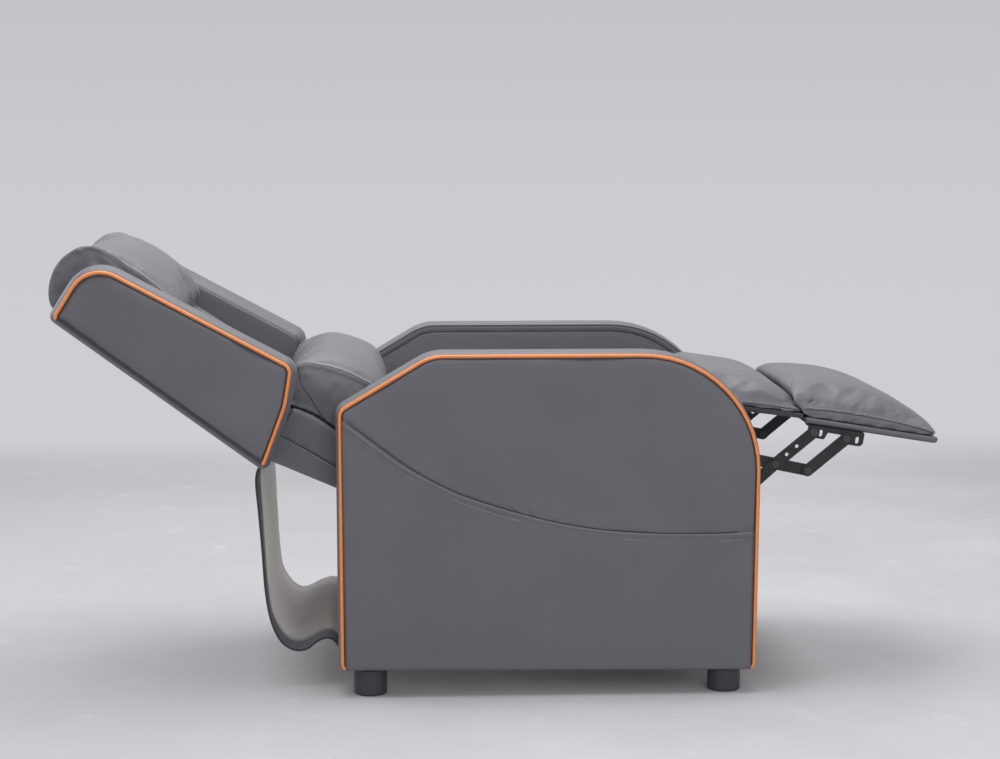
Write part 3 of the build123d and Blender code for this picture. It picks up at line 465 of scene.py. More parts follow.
def slab(name, place, corners, radii, levels, material, bulges, spacing=9.0):
    """A padded block: its outline at levels of (inset, y) runs round its edge; both faces swell."""
    base = rounded(corners, radii)
    lengths = lengths_of(np.vstack([base, base[:1]]))
    extra = [max(1, int(round(length / spacing))) for length in lengths]

    def ring(distance):
        edge = rounded(corners, radii, distance)
        points = []
        for i, n in enumerate(extra):
            a, b = np.array(edge[i]), np.array(edge[(i + 1) % len(edge)])
            points += [a + (b - a) * k / n for k in range(n)]
        return np.array(points)

    rings = [place(ring(d), y) for d, y in levels]
    side = math.copysign(1, levels[-1][1] - levels[0][1])
    return capped(name, rings, side, bulges, 22, material)


TUBE_END = (0.0, 0.5, 0.8, 0.95)


def tube(name, path, radius, material, sides):
    """A round bead with round ends; its UV map is in metres along it and in turns round it."""
    path = np.asarray(path, float)
    tangents = np.gradient(path, axis=0)
    tangents /= np.linalg.norm(tangents, axis=1)[:, None]
    normal = np.cross(tangents[0], (0.0, 1.0, 0.0))
    run = run_of(path)
    centres, frames, radii, at = [], [], [], []
    for t in tangents:
        normal = normal - t * (normal @ t)
        normal /= np.linalg.norm(normal)
        frames.append((normal.copy(), np.cross(t, normal)))
    frames = [frames[0]] * len(TUBE_END) + frames + [frames[-1]] * len(TUBE_END)

    def end(index, way, shares):
        for share in shares:
            centres.append(path[index] + way * tangents[index] * radius * (1 - share))
            radii.append(radius * math.sqrt(max(1 - (1 - share) ** 2, 0.02)))
            at.append(run[index] + way * radius * (1 - share))

    end(0, -1, TUBE_END)
    centres += list(path)
    radii += [radius] * len(path)
    at += list(run)
    end(-1, 1, TUBE_END[::-1])
    angles = np.linspace(0, 2 * math.pi, sides, endpoint=False)
    rings = [c + r * (np.cos(angles)[:, None] * n + np.sin(angles)[:, None] * b)
             for c, (n, b), r in zip(centres, frames, radii)]
    points = np.vstack(rings + [rings[0].mean(0)[None], rings[-1].mean(0)[None]])
    total = len(rings) * sides
    mesh = new_mesh(name, points, shell_faces(len(rings), sides))
    layer = mesh.uv_layers.new(name="UVMap")
    for poly in mesh.polygons:
        around = [(v % sides) / sides if v < total else 0.0 for v in poly.vertices]
        wrap = max(around) - min(around) > 0.5
        for loop, v, turn in zip(poly.loop_indices, poly.vertices, around):
            length = at[v // sides] if v < total else at[0 if v == total else -1]
            layer.data[loop].uv = (length, turn + 1 if wrap and turn < 0.5 else turn)
    return closed_object(name, mesh, material)


def mesh_points(obj):
    """The vertex places of a mesh, as rows."""
    flat = np.empty(len(obj.data.vertices) * 3)
    obj.data.vertices.foreach_get("co", flat)
    return flat.reshape(-1, 3)


def mesh_normals(obj):
    """The vertex normals of a mesh, as rows."""
    return np.array([v.normal[:] for v in obj.data.vertices])


def set_points(obj, points):
    """Moves a mesh's vertices."""
    obj.data.vertices.foreach_set("co", np.asarray(points, float).ravel())
    obj.data.update()


def swollen(obj, amount):
    """A mesh's points moved out along their normals, each by its own amount."""
    return mesh_points(obj) + mesh_normals(obj) * amount[:, None]


def set_attribute(obj, name, values):
    """Stores one number for each vertex, for the material to read."""
    data = obj.data.attributes
    attribute = data.get(name) or data.new(name, "FLOAT", "POINT")
    attribute.data.foreach_set("value", np.asarray(values, np.float32))


def rumple(points, size, depth, seed):
    """Soft, fixed noise for each point."""
    shift = Vector((seed * 7.1, seed * 3.7, seed * 1.9))
    return depth * np.array([noise.noise(Vector(p) / size + shift) for p in points])


def bell(distance, width):
    """1 on a line, falling off over a width."""
    return np.exp(-(distance / width) ** 2)


def tree_of(points):
    """A search tree of points."""
    tree = KDTree(len(points))
    for i, p in enumerate(points):
        tree.insert(p, i)
    tree.balance()
    return tree


def nearest(points, lines):
    """For each point, how far the nearest seam is and how far along it that lies."""
    samples, run = [], []
    for line in lines:
        line = even(line, spacing=0.003)
        samples += list(line)
        run += list(np.arange(len(line)) * 0.003)
    tree = tree_of(samples)
    found = [tree.find(p) for p in points]
    return np.array([f[2] for f in found]), np.array([run[f[1]] for f in found])


def sew(obj, lines, depth, width, pucker, reach=22.0):
    """Draws a mesh in along its seams, with small puckers beside them, and marks the seams."""
    distance, run = nearest(mesh_points(obj), lines)
    ripple = np.array([noise.noise((r / 0.014, 0.5, 0.5)) for r in run])
    fade = bell(distance - 0.35 * reach * MM, 0.45 * reach * MM)
    pull = depth * MM * bell(distance, width * MM)
    set_points(obj, swollen(obj, -(pull + pucker * MM * ripple * fade)))
    set_attribute(obj, "seam", bell(distance, 0.8 * width * MM))


def mark_seam(obj, lines, depth=1.6, width=2.2):
    """Presses seam lines into a firm padded face and marks them."""
    distance, _ = nearest(mesh_points(obj), lines)
    set_points(obj, swollen(obj, -depth * MM * bell(distance, width * MM)))
    set_attribute(obj, "seam", bell(distance, 0.9 * width * MM))


def edge_wear(obj, lines, width=6.0, strength=1.0):
    """Marks the edges that rub, for the leather's paler wear."""
    distance, _ = nearest(mesh_points(obj), lines)
    set_attribute(obj, "wear_and_painted_highlight", strength * bell(distance, width * MM))


def bake(obj):
    """Turns an object's modifiers into its mesh."""
    graph = bpy.context.evaluated_depsgraph_get()
    mesh = bpy.data.meshes.new_from_object(obj.evaluated_get(graph))
    old = obj.data
    obj.modifiers.clear()
    obj.data = mesh
    mesh.name = obj.name
    bpy.data.meshes.remove(old)
    mesh.shade_smooth()


def change(obj, kind, **settings):
    """Adds a modifier with its settings and bakes it."""
    modifier = obj.modifiers.new(kind.lower(), kind)
    for key, value in settings.items():
        setattr(modifier, key, value)
    bake(obj)


VOXEL = 6.5  # how fine a cushion is while it swells, in millimetres
FRAMES = 20
CLOTH = {"quality": 4, "mass": 0.3, "tension_stiffness": 12, "compression_stiffness": 12,
         "shear_stiffness": 5, "bending_stiffness": 0.4, "use_pressure": True, "shrink_min": -0.02}


def inflate(obj, pins, cap, pressure):
    """Swells a cushion as cloth under pressure; pinned places, such as seams and bases, stay."""
    change(obj, "REMESH", mode="VOXEL", voxel_size=VOXEL * MM)
    change(obj, "SMOOTH", factor=0.5, iterations=4)
    start = mesh_points(obj)
    weights = np.clip(pins(start), 0, 1)
    start = start - mesh_normals(obj) * (0.72 * cap * MM * (1 - weights))[:, None]
    set_points(obj, start)
    group = obj.vertex_groups.new(name="pinned")
    for level in range(1, 11):
        chosen = np.nonzero(np.round(weights * 10) == level)[0]
        if len(chosen):
            group.add([int(i) for i in chosen], level / 10, "REPLACE")
    cloth = obj.modifiers.new("cloth", "CLOTH")
    for key, value in CLOTH.items():
        setattr(cloth.settings, key, value)
    cloth.settings.uniform_pressure_force = pressure
    cloth.settings.vertex_group_mass = group.name
    cloth.settings.effector_weights.gravity = 0
    cloth.collision_settings.use_self_collision = False
    cloth.collision_settings.use_collision = False
    cloth.point_cache.frame_start = 1
    cloth.point_cache.frame_end = FRAMES
    scene = bpy.context.scene
    for step in range(1, FRAMES + 1):
        scene.frame_set(step)
    bake(obj)
    scene.frame_set(1)
    moved = mesh_points(obj) - start
    size = np.linalg.norm(moved, axis=1)
    limit = cap * MM
    share = np.where(size > 1e-9, limit * np.tanh(size / limit) / np.maximum(size, 1e-9), 1)
    set_points(obj, start + moved * share[:, None])
    obj.vertex_groups.clear()


# ---------------------------------------------------------------- shader expressions
class Value:
    """A number in a shader: arithmetic on it adds Math nodes."""

    def __init__(self, shader, socket):
        self.shader, self.socket = shader, socket

    def _math(self, operation, *values):
        settings = {"operation": operation}
        return self.shader.node("ShaderNodeMath", settings, dict(enumerate(values)))[0]

    def __add__(self, other):
        return self._math("ADD", self, other)

    def __sub__(self, other):
        return self._math("SUBTRACT", self, other)

    def __rsub__(self, other):
        return self._math("SUBTRACT", other, self)

    def __mul__(self, other):
        return self._math("MULTIPLY", self, other)

    __radd__ = __add__
    __rmul__ = __mul__

    def sin(self):
        return self._math("SINE", self)

    def fract(self):
        return self._math("FRACT", self)

    def absolute(self):
        return self._math("ABSOLUTE", self)

    def clamp(self):
        """Held between 0 and 1."""
        return self._math("MINIMUM", self._math("MAXIMUM", self, 0.0), 1.0)

    def step(self, low, high):
        """0 below low, 1 above high, smooth between."""
        values = {"Value": self, "From Min": low, "From Max": high}
        settings = {"interpolation_type": "SMOOTHSTEP"}
        return self.shader.node("ShaderNodeMapRange", settings, values)[0]


class Outputs:
    """A node's outputs, by place or by name."""

    def __init__(self, shader, node):
        self.shader, self.node = shader, node

    def __getitem__(self, key):
        return Value(self.shader, self.node.outputs[key])


class Shader:
    """A material whose nodes are made by one method."""

    def __init__(self, name):
        name = LOOK_PREFIX + name
        self.material = bpy.data.materials.get(name) or bpy.data.materials.new(name)
        self.material.use_nodes = True
        self.tree = self.material.node_tree
        self.tree.nodes.clear()
        self.places = self.node("ShaderNodeTexCoord", {}, {})["Object"]

    def node(self, kind, settings, values):
        node = self.tree.nodes.new(kind)
        for key, value in settings.items():
            setattr(node, key, value)
        for key, value in values.items():
            self.put(node.inputs[key], value)
        return Outputs(self, node)

    def put(self, socket, value):
        """Links or sets a socket."""
        if isinstance(value, Value):
            self.tree.links.new(value.socket, socket)
        elif hasattr(value, "__len__") and len(value) == 3 and socket.type == "RGBA":
            socket.default_value = (*value, 1)
        else:
            socket.default_value = value

    def noise(self, scale, detail=2.0, rough=0.5, where=None):
        values = {"Vector": where or self.places, "Scale": scale, "Detail": detail,
                  "Roughness": rough}
        return self.node("ShaderNodeTexNoise", {}, values)["Fac"]

    def cells(self, scale):
        values = {"Vector": self.places, "Scale": scale}
        return self.node("ShaderNodeTexVoronoi", {"feature": "F1"}, values)["Distance"]

    def attribute(self, name):
        return self.node("ShaderNodeAttribute", {"attribute_name": name}, {})["Fac"]

    def split(self, where=None):
        axes = self.node("ShaderNodeSeparateXYZ", {}, {0: where or self.places})
        return axes[0], axes[1], axes[2]

    def join(self, x, y, z):
        return self.node("ShaderNodeCombineXYZ", {}, {0: x, 1: y, 2: z})[0]

    def mix(self, factor, a, b):
        """Mixes two colours."""
        values = {0: factor, 6: a, 7: b}
        return self.node("ShaderNodeMix", {"data_type": "RGBA"}, values)[2]

    def bump(self, height, distance, strength=1.0, under=None):
        values = {"Height": height, "Distance": distance, "Strength": strength}
        if under is not None:
            values["Normal"] = under
        return self.node("ShaderNodeBump", {}, values)[0]

    def finish(self, **sockets):
        """Ends in a Principled BSDF with the sockets given by name."""
        values = {key.replace("_", " "): value for key, value in sockets.items()}
        self.body = self.node("ShaderNodeBsdfPrincipled", {}, values)[0]
        self.output = self.tree.nodes.new("ShaderNodeOutputMaterial").inputs[0]
        self.put(self.output, self.body)
        return self.material

    def mix_in(self, factor, other):
        """Mixes the finished body with another shader."""
        values = {0: factor, 1: self.body, 2: other}
        self.put(self.output, self.node("ShaderNodeMixShader", {}, values)[0])
        return self.material


# ---------------------------------------------------------------- finishes
def tone(colour, factor):
    """A colour made lighter or darker."""
    return tuple(min(1.0, c * factor) for c in colour)


def leather(name, colour, wear, grain=1.0):
    """Matte synthetic leather: fine pebbles, soft mottling, darker seams with painted shade beside the
    piping, and paler rubbed edges, which on the lower covers' lapped edges are a painted highlight.
    """
    s = Shader(name)
    pebbles = s.cells(950.0)
    pores = s.noise(2600.0, 2.0)
    broad = s.noise(6.0, 3.0, 0.55)
    patches = s.noise(34.0, 3.0, 0.6)
    # Seam marks, and the painted shade beside the piping, darken the leather alike
    seam = (s.attribute("seam") + s.attribute("painted_edge_shade")).clamp()
    # Paler rubbed edges; on the lower covers' lapped edges this is a painted highlight
    wear_and_painted_highlight = (s.attribute("wear_and_painted_highlight") * (0.65 + 0.7 * patches) * wear).clamp()
    base = s.mix(broad.step(0.3, 0.7), tone(colour, 0.965), tone(colour, 1.035))
    base = s.mix((patches - 0.5).clamp() * 0.5, base, tone(colour, 1.16))
    base = s.mix(wear_and_painted_highlight * 0.6, base, tone(colour, 1.75))
    base = s.mix(seam * 0.72, base, tone(colour, 0.34))
    rough = 0.47 + 0.10 * (broad - 0.5) + 0.05 * pebbles - 0.05 * wear_and_painted_highlight + 0.2 * seam
    creases = s.noise(60.0, 4.0, 0.62)
    normal = s.bump(creases, 0.00065 * grain, 0.55)
    normal = s.bump(1.0 - pebbles + 0.3 * pores, 0.00010 * grain, 0.6, normal)
    return s.finish(Base_Color=base, Roughness=rough.clamp(), Normal=normal, IOR=1.45,
                    Specular_IOR_Level=0.42, Sheen_Weight=0.06)


def piping_leather(name, colour):
    """Smooth covered cord with slanting wrap creases, darkened as painted shade; it reads the bead's own UV
    map.
    """
    s = Shader(name)
    u, v, _ = s.split(s.node("ShaderNodeUVMap", {"uv_map": "UVMap"}, {})[0])
    wrap = ((u * 95.0 + v).fract() - 0.5).absolute()
    crease = 1.0 - wrap.step(0.0, 0.09)
    grain = s.cells(1300.0)
    patches = s.noise(55.0, 3.0)
    base = s.mix(patches, tone(colour, 0.9), tone(colour, 1.12))
    # Painted shade in the wrap creases
    base = s.mix(crease * 0.22, base, tone(colour, 0.5))
    normal = s.bump(1.0 - 0.75 * crease + 0.12 * grain, 0.0004, 0.55)
    return s.finish(Base_Color=base, Roughness=0.40 + 0.12 * crease, Normal=normal,
                    Specular_IOR_Level=0.45)


def moulded_plastic(name, colour):
    """Black moulded plastic with a fine spark texture and scuffs."""
    s = Shader(name)
    spark = s.noise(1500.0, 2.0)
    scuff = s.noise(70.0, 5.0, 0.7).step(0.56, 0.75)
    base = s.mix(scuff * 0.5, colour, tone(colour, 2.2))
    return s.finish(Base_Color=base, Roughness=0.46 + 0.14 * scuff,
                    Normal=s.bump(spark, 0.0001, 0.5))


def dark_steel(name, colour, shine=0.55):
    """Blackened steel strip: rolling marks, thin oil haze and rubbed spots."""
    s = Shader(name)
    x, y, z = s.split()
    streaks = s.noise(1.0, 4.0, 0.6, s.join(x * 60, y * 900, z * 900))
    haze = s.noise(28.0, 4.0, 0.6)
    rub = s.noise(120.0, 5.0, 0.75).step(0.58, 0.72)
    base = s.mix(haze, tone(colour, 0.75), tone(colour, 1.35))
    base = s.mix(rub * 0.35, base, RUBBED_STEEL)
    rough = 0.34 + 0.2 * haze - 0.08 * rub + 0.06 * streaks
    return s.finish(Base_Color=base, Roughness=rough.clamp(), Metallic=shine + 0.3 * rub,
                    Normal=s.bump(streaks, 0.00005, 0.5))


def woven(name, colour, pitch, inner=None, thin=0.0):
    """Plain woven cloth; inner is its back's colour, pale partly as painted light, and thin is how much
    light comes through; a strip by the near edge keeps the front's colour as painted shade, and the cloth's
    edges are darkened as painted shade.
    """
    s = Shader(name)
    x, y, z = s.split()
    turns = 2000 * math.pi / (2 * pitch)
    weave = (y * turns).sin() * ((x + z * 0.82) * turns).sin()
    fibres = s.noise(900.0, 3.0)
    blotch = s.noise(9.0, 4.0, 0.6)
    base = s.mix(blotch.step(0.3, 0.72), tone(colour, 0.86), tone(colour, 1.14))
    if inner is not None:
        # Pale backing, partly painted light
        lit_lining = s.mix(blotch, tone(inner, 0.9), tone(inner, 1.08))
        base = s.mix(s.attribute("inner"), base, lit_lining)
    base = s.mix(s.attribute("seam") * 0.7, base, tone(colour, 0.45))
    # Painted shade along the cloth's two edges
    base = s.mix(s.attribute("painted_edge_shade") * 0.9, base, tone(colour, 0.12))
    base = s.mix((weave * 0.5 + 0.5) * 0.16, base, tone(colour, 0.6))
    normal = s.bump(s.noise(26.0, 4.0, 0.55), 0.0012, 0.5)
    normal = s.bump(weave * 0.5 + fibres * 0.4, 0.00022, 0.7, normal)
    material = s.finish(Base_Color=base, Roughness=0.9, Normal=normal, Sheen_Weight=0.12)
    if thin:
        through = s.node("ShaderNodeBsdfTranslucent", {}, {"Color": LIGHT_THROUGH})[0]
        # No light comes through where the painted shade lies
        open_weave = (1.0 - s.attribute("painted_shade_strip")) * (1.0 - s.attribute("painted_edge_shade")) * thin
        s.mix_in(open_weave, through)
    return material


def webbing_strap(name, colour):
    """Ribbed elastic strap with darker ribs."""
    s = Shader(name)
    x, _, z = s.split()
    ribs = ((x + z) * 2400).sin()
    base = s.mix((ribs * 0.5 + 0.5) * 0.4, colour, tone(colour, 0.55))
    base = s.mix(s.noise(60.0, 4.0) * 0.4, base, tone(colour, 1.3))
    return s.finish(Base_Color=base, Roughness=0.85, Normal=s.bump(ribs, 0.0003, 0.6))


def planed_wood(name, colour):
    """Planed softwood with growth rings along the board and pores."""
    s = Shader(name)
    x, y, z = s.split()
    rings = (s.noise(5.0, 3.0, 0.5, s.join(x * 9, y * 1.2, z * 9)) * 34).sin() * 0.5 + 0.5
    pores = s.noise(420.0, 2.0)
    base = s.mix(rings, tone(colour, 0.72), tone(colour, 1.12))
    base = s.mix(pores.step(0.6, 0.8) * 0.3, base, tone(colour, 0.5))
    return s.finish(Base_Color=base, Roughness=0.62 + 0.1 * rings,
                    Normal=s.bump(rings + 0.5 * pores, 0.0002, 0.5))


def thread(name, colour):
    """Waxed sewing thread."""
    s = Shader(name)
    x, _, z = s.split()
    twist = (x * 9000 + z * 9000).sin()
    base = s.mix(twist * 0.5 + 0.5, tone(colour, 0.8), tone(colour, 1.2))
    return s.finish(Base_Color=base, Roughness=0.55, Normal=s.bump(twist, 0.0001, 0.4))


def studio_floor(name, colour, back):
    """Pale painted floor with scuffs and cloudy patches that fades into the backdrop; painted shade darkens
    the floor's left and the backdrop's top, a painted glow lightens the backdrop's foot, and the floor glows
    as painted light away from the chair.
    """
    s = Shader(name)
    x, y, z = s.split()
    cloud = s.noise(1.4, 5.0, 0.62)
    specks = s.noise(7.0, 8.0, 0.75).step(0.56, 0.72)
    grime = s.noise(23.0, 6.0, 0.8).step(0.60, 0.68)
    dots = s.noise(95.0, 4.0, 0.8).step(0.66, 0.70)
    wall = y.step(2.2, 3.4)
    floor = s.mix(cloud.step(0.32, 0.68), tone(colour, 0.93), tone(colour, 1.04))
    # Painted shade: the floor darker towards its left
    floor = s.mix(x.step(-2.2, 0.6), tone(colour, 0.84), floor)
    floor = s.mix(specks * 0.6, floor, tone(colour, 1.16))
    floor = s.mix(grime * 0.5, floor, tone(colour, 0.78))
    floor = s.mix(dots * 0.6, floor, tone(colour, 0.55))
    # Painted glow at the backdrop's foot, and painted shade towards its top
    upper = s.mix(z.step(0.0, 2.2), back, tone(back, 0.97))
    sky = s.mix(z.step(-0.05, 2.15), tone(back, 1.10), upper)
    base = s.mix(wall, floor, sky)
    s.finish(Base_Color=base, Roughness=0.75, Specular_IOR_Level=0.2)
    rays = s.node("ShaderNodeLightPath", {}, {})
    # Painted light: away from the chair the floor glows for camera, glossy and transmission rays, paling its
    # shadows; beneath the chair it does not
    away = ((x - 0.1).absolute() - 0.42).clamp() + (y.absolute() - 0.37).clamp()
    seen = rays["Is Camera Ray"] + rays["Is Glossy Ray"] + rays["Is Transmission Ray"]
    seen = seen.clamp() * (0.44 * away.step(-0.02, 0.16) + 0.5 * wall)
    glow = s.node("ShaderNodeEmission", {}, {"Color": base, "Strength": 1.0})[0]
    return s.mix_in(seen, glow)


# ---------------------------------------------------------------- stitches and seams
class Geometry:
    """A geometry node group that reads the edges of a mesh as sewing lines."""

    def __init__(self, name, inputs):
        self.tree = bpy.data.node_groups.new(name, "GeometryNodeTree")
        self.tree.is_modifier = True
        face = self.tree.interface
        face.new_socket("Geometry", in_out="INPUT", socket_type="NodeSocketGeometry")
        for key, value in inputs.items():
            kind = "NodeSocketMaterial" if value is None else "NodeSocketFloat"
            socket = face.new_socket(key, in_out="INPUT", socket_type=kind)
            if value is not None:
                socket.default_value = value
        face.new_socket("Geometry", in_out="OUTPUT", socket_type="NodeSocketGeometry")
        self.entry = self.tree.nodes.new("NodeGroupInput").outputs
        self.curve = self.add("GeometryNodeMeshToCurve", Mesh=self.entry["Geometry"])

    def add(self, kind, settings=None, **links):
        node = self.tree.nodes.new(kind)
        for key, value in (settings or {}).items():
            setattr(node, key, value)
        for key, value in links.items():
            socket = node.inputs[key.replace("_", " ")]
            if isinstance(value, bpy.types.NodeSocket):
                self.tree.links.new(value, socket)
            else:
                socket.default_value = value
        return node.outputs[0]

    def resample(self, step):
        return self.add("GeometryNodeResampleCurve", {"mode": "LENGTH"}, Curve=self.curve,
                        Length=step)

    def finish(self, shape, material):
        solid = self.add("GeometryNodeRealizeInstances", Geometry=shape)
        smooth = self.add("GeometryNodeSetShadeSmooth", Geometry=solid)
        done = self.add("GeometryNodeSetMaterial", Geometry=smooth, Material=material)
        self.tree.links.new(done, self.tree.nodes.new("NodeGroupOutput").inputs[0])
        return self.tree


def stitch_tree():
    """Even stitches along each line."""
    g = Geometry("Stitches", {"Pitch": 0.006, "Length": 0.0042, "Thickness": 0.0011,
                              "Thread": None})
    tangent = g.add("GeometryNodeInputTangent")
    turn = g.add("FunctionNodeAlignRotationToVector", {"axis": "Z"}, Vector=tangent)
    bead = g.add("GeometryNodeMeshUVSphere", Segments=6, Rings=4, Radius=0.5)
    thick = g.entry["Thickness"]
    size = g.add("ShaderNodeCombineXYZ", X=thick, Y=thick, Z=g.entry["Length"])
    row = g.add("GeometryNodeInstanceOnPoints", Points=g.resample(g.entry["Pitch"]), Instance=bead,
                Rotation=turn, Scale=size)
    return g.finish(row, g.entry["Thread"])


def seam_tree():
    """A slim roll along each line, where two panels meet; its dark leather is painted shade."""
    g = Geometry("Seams", {"Radius": 0.0009, "Step": 0.004, "Leather": None})
    ring = g.add("GeometryNodeCurvePrimitiveCircle", Resolution=6, Radius=g.entry["Radius"])
    roll = g.add("GeometryNodeCurveToMesh", Curve=g.resample(g.entry["Step"]), Profile_Curve=ring,
                 Fill_Caps=True)
    return g.finish(roll, g.entry["Leather"])


def sewn(name, lines, tree, inputs, body, material):
    """Runs a sewing tree along lines, as one plain mesh that rides on one body."""
    points, edges = [], []
    for line in lines:
        first = len(points)
        points += list(even(line, spacing=0.002))
        edges += [(i, i + 1) for i in range(first, len(points) - 1)]
    obj = put(name, new_mesh(name, points, [], edges))
    modifier = obj.modifiers.new("sewing", "NODES")
    modifier.node_group = tree
    for item in tree.interface.items_tree:
        if item.item_type == "SOCKET" and item.in_out == "INPUT" and item.name in inputs:
            modifier[item.identifier] = inputs[item.name]
    bake(obj)
    if not obj.data.materials:
        obj.data.materials.append(material)
    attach(obj, body)


def stitches(name, lines, body):
    """Sews stitches along lines, at the settings' pitch and thickness."""
    shape = bpy.context.scene.recliner_shape
    material = finish_of("grey_thread")
    inputs = {"Pitch": shape.pitch, "Length": 0.7 * shape.pitch, "Thickness": shape.thread,
              "Thread": material}
    tree = bpy.data.node_groups.get("Stitches") or stitch_tree()
    sewn(name, lines, tree, inputs, body, material)


def seams(name, lines, body, radius=0.9):
    """Lays slim rolls of dark leather along seam lines, as painted shade in the seams."""
    material = finish_of("seam_leather")
    tree = bpy.data.node_groups.get("Seams") or seam_tree()
    inputs = {"Radius": radius * MM, "Leather": material}
    sewn(name, lines, tree, inputs, body, material)


def runs_of(line, keep):
    """The stretches of a line whose points are kept."""
    runs, run = [], []
    for p, ok in zip([*line, None], [*keep, False]):
        if ok:
            run.append(p)
            continue
        if len(run) > 6:
            runs.append(np.array(run))
        run = []
    return runs


def on_surface(obj, line, lift=0.3):
    """Lays a line on the nearest places of a mesh, a little above it."""
    bm = bmesh.new()
    bm.from_mesh(obj.data)
    tree = BVHTree.FromBMesh(bm)
    laid = []
    for p in even(line, spacing=0.004):
        place, normal, _, _ = tree.find_nearest(Vector(p))
        laid.append(np.array(place + normal * lift * MM))
    bm.free()
    return np.array(laid)


# ---------------------------------------------------------------- side views of the cushions
def box_crown(up):
    """How far the lower box's puffed front stands out, at a height up the back."""
    return np.interp(up, *zip(*BOX_CROWN))


def lumbar_section(full):
    """The lumbar cushion: it lies on the box's puffed front, high and round before it."""
    end = min(1.0, (1 - full) / 0.38)
    line = []
    for u, v in LUMBAR_TOP:
        foot = box_crown(u) + 0.4
        line.append((190 + (u - 190) * (1 - 0.05 * end), foot + (v - foot) * full))
    base = [(u, box_crown(u) + 0.4) for u, _ in straight(line[-1], line[0], 16)]
    return base + crest(line)


def head_section(full):
    """The head cushion: it wraps over the back's top, and its ends thin towards the sitter."""
    taper = []
    for u, v in HEAD_TOP:
        inner = 1 - min(1.0, max(0.0, (u - 655) / 60))
        share = 1 - (1 - full) * inner
        taper.append((u, BACK_FACE + (v - BACK_FACE) * share if v > BACK_FACE else v))
    top = (694.3, BACK_FACE)
    return straight(taper[-1], top, 24) + straight(top, HEAD_TOP[0], 12) + crest(taper)


def back_section(full):
    """The pad on the back's frame, crowned between its two cushions."""
    rear, front, low, high = -0.4, 58, 238, 694
    return (straight((low, rear), (high, rear), 30) + straight((high, rear), (high, front), 6)
            + straight((high, front), (500, front), 14)
            + arc((500, front), (395, front + 9 * full), (290, front), 20)
            + straight((290, front), (low, front), 6) + straight((low, front), (low, rear), 6))


def seat_section(full):
    """The seat cushion: flat below, crowned above, its sides pulled in towards the corners."""
    low, top = SEAT_LOW, SEAT_LOW + SEAT_HEIGHT * (0.72 + 0.28 * full)
    middle = (low + top) / 2
    pull = 20 * (1 - full)
    rear, front = SEAT_REAR + pull, SEAT_FRONT - pull
    return (straight((rear, low), (front, low), 30)
            + arc((front, low), (front + 5, middle), (front - 6, top - 8), 12)
            + arc((front - 6, top - 8), ((front + rear) / 2, top + 20 * full),
                  (rear + 6, top - 8), 30)
            + arc((rear + 6, top - 8), (rear - 2, middle), (rear, low), 12))


def board_section(base, top, tip=None):
    """A pad on a board: its top line in the middle, lower at its ends, with less rear bulge."""
    def section(full):
        line = []
        for a, h in top:
            share = full
            if tip is not None:
                share = full + (1 - full) * 0.62 * min(1.0, max(0.0, (a - tip) / 45))
            line.append((a * (0.7 + 0.3 * full) if a < 0 else a, base + (h - base) * share))
        return straight(line[-1], line[0], 24) + crest(line)
    return section


rest_section = board_section(12.3, REST_TOP, REST_TIP)
leg_section = board_section(8.3, LEG_TOP)


def fullness(share, low, power):
    """How full a cushion's section is: 1 in the middle and low at its ends."""
    return low + (1 - low) * max(0.0, 1 - abs(share) ** power) ** (1 / power)


def loft(name, place, section, half, low, power, stations, bulge, material):
    """A closed cushion: its side view at each width, fuller in the middle, with swelling ends."""
    rings = []
    for k in range(stations):
        share = math.sin(math.pi * (k / (stations - 1) - 0.5))
        rings.append(place(np.array(section(fullness(share, low, power))), share * half))
    return capped(name, rings, 1, (bulge, bulge), 12, material)


# ---------------------------------------------------------------- places on the cushions
def back_height(points):
    """How far points stand out from the back's frame, and how far up it they are."""
    x, z = points[:, 0] / MM - PIVOT[0], points[:, 2] / MM - PIVOT[1]
    up = -x * math.cos(SLOPE) + z * math.sin(SLOPE)
    out = x * math.sin(SLOPE) + z * math.cos(SLOPE)
    return out, up


def lumbar_room(points):
    """How far points stand above the box's crown, counted from the back's face."""
    out, up = back_height(points)
    return out + BACK_FACE - box_crown(up)


def head_room(points):
    """How far points stand out from the back, or high where they are above its top."""
    out, up = back_height(points)
    return np.where(up < BACK_TOP, out, 80.0)


def board_room(origin, end):
    """A function for how far points stand above a board's lower face, and the way up from it."""
    dx, dz = heading(origin, end)

    def height(points):
        return -(points[:, 0] / MM - origin[0]) * dz + (points[:, 2] / MM - origin[1]) * dx

    return height, (-dz, 0.0, dx)


# ---------------------------------------------------------------- pieces
def dress(obj, body, nodes=()):
    """Hands a finished piece to its body and hides the solids that it stands for."""
    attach(obj, body)
    if nodes:
        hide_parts(*nodes)


def finish_of(name):
    """A finish made by the first operator."""
    material = bpy.data.materials.get(LOOK_PREFIX + name)
    if material is None:
        raise RuntimeError(f"the finish {name} has not been made yet")
    return material


